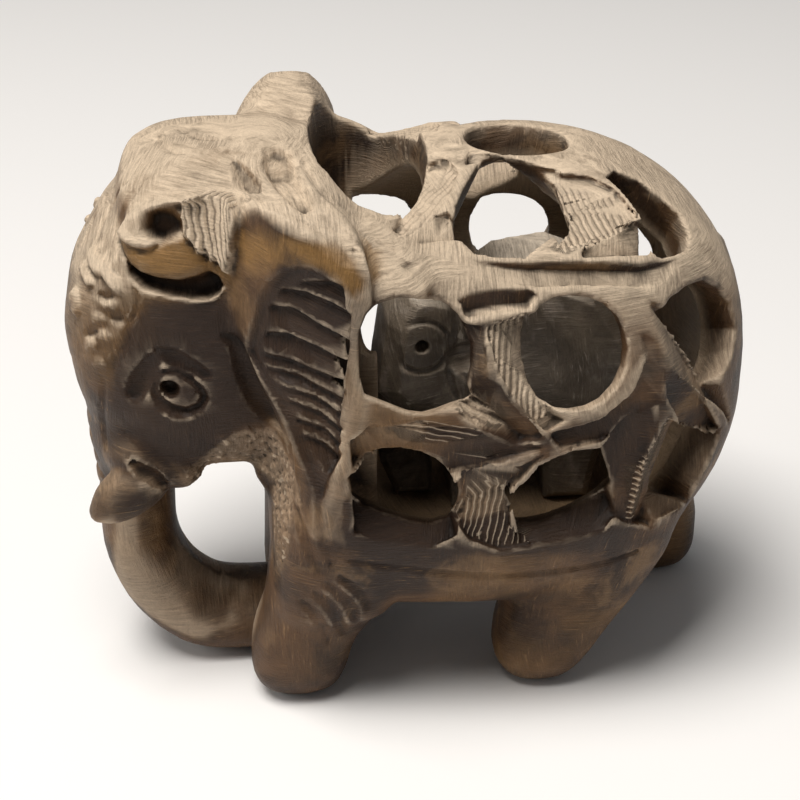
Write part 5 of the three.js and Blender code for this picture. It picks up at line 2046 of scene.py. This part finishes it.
def finished_areas() -> Areas:
    """The specially finished areas of both sides of the outer elephant.

    Returns:
        The areas.
    """
    both = (Side(), Side(right=True))
    grooved = []
    for side in both:
        for name, points in MARKS.items():
            placed = np.array(side.points(points, SLIDES.get(name, 0.0)))
            direction = placed[-1] - placed[-2]
            strength = Cut.FILED if name == "saw_saddle" else Cut.SAWN
            grooved.append((Patch(placed[:-2]), direction / np.linalg.norm(direction), strength.value))

    def patches(table: dict[str, Sequence[Point]]) -> tuple[Patch, ...]:
        """The outlines of a table on both sides."""
        return tuple(Patch(side.points(outline, SLIDES.get(name, 0.0))) for side in both
                     for name, outline in table.items())
    carved = {name: RELIEFS[name][0] for name in ("tuft", "fringe_one", "slot", "curl_hollow")}
    pale = {**PALE, "tuft": carved["tuft"], "fringe_one": carved["fringe_one"]}
    dark = {**DARK, "slot": carved["slot"], "curl_hollow": carved["curl_hollow"]}
    return Areas(tuple(grooved), patches(POLISHED), patches(pale), patches(dark), patches(PECKED))


@dataclass
class OuterElephant:
    """The outer stone: its carving, tool marks and finish."""

    carving: OuterCarving
    finish: Soapstone

    def build(self) -> bpy.types.Object:
        """Makes the piece and gives it the place of its solid.

        Returns:
            The piece.
        """
        maker = StoneMesh("outer_stone_carving", OUTER_TRIANGLES)
        areas = finished_areas()
        stone = maker.build(self.carving.carve(), areas)

        def hollow(x: Array, y: Array, z: Array) -> Array:
            """Distance to the hollow, a little larger than it was cut."""
            sides = BODY.skin(x, y, z, BODY.wall - HOLLOW_SIDES)
            return np.maximum(np.maximum(sides, BODY.cavity_front - HOLLOW_ENDS - x),
                              BODY.cavity_floor - HOLLOW_ENDS - z)
        maker.finish_surface(stone, areas, hollow, seed=11)
        stone.data.materials.clear()
        stone.data.materials.append(self.finish.make())
        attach(stone, "root")
        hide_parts("outer_elephant")
        return stone


@dataclass
class InnerElephant:
    """The small elephant loose inside."""

    carving: InnerCarving
    finish: Soapstone

    def build(self) -> bpy.types.Object:
        """Makes the piece and gives it the place of its solid.

        Returns:
            The piece.
        """
        maker = StoneMesh("inner_stone_carving", INNER_TRIANGLES)
        stone = maker.build(self.carving.carve(), Areas())
        maker.finish_surface(stone, Areas(), None, seed=23)
        stone.data.materials.clear()
        stone.data.materials.append(self.finish.make())
        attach(stone, "root")
        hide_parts("inner_elephant")
        return stone


def main() -> None:
    """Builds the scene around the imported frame."""
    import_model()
    Studio().build()
    step = 0.4
    outer = OuterElephant(OuterCarving(step=step), Soapstone("scraped_soapstone")).build()
    inner = InnerElephant(InnerCarving(step=0.3),
                          Soapstone("dark_soapstone", scraped="#C9BDAC", body="#7C7061", shade="#51483E",
                                    honey="#7E6C54", dust="#A0958A", rough=0.5, wax=0.2)).build()
    for piece in (outer, inner):
        log.info("%s has %d faces", piece.name, len(piece.data.polygons))


if __name__ == "__main__":
    main()
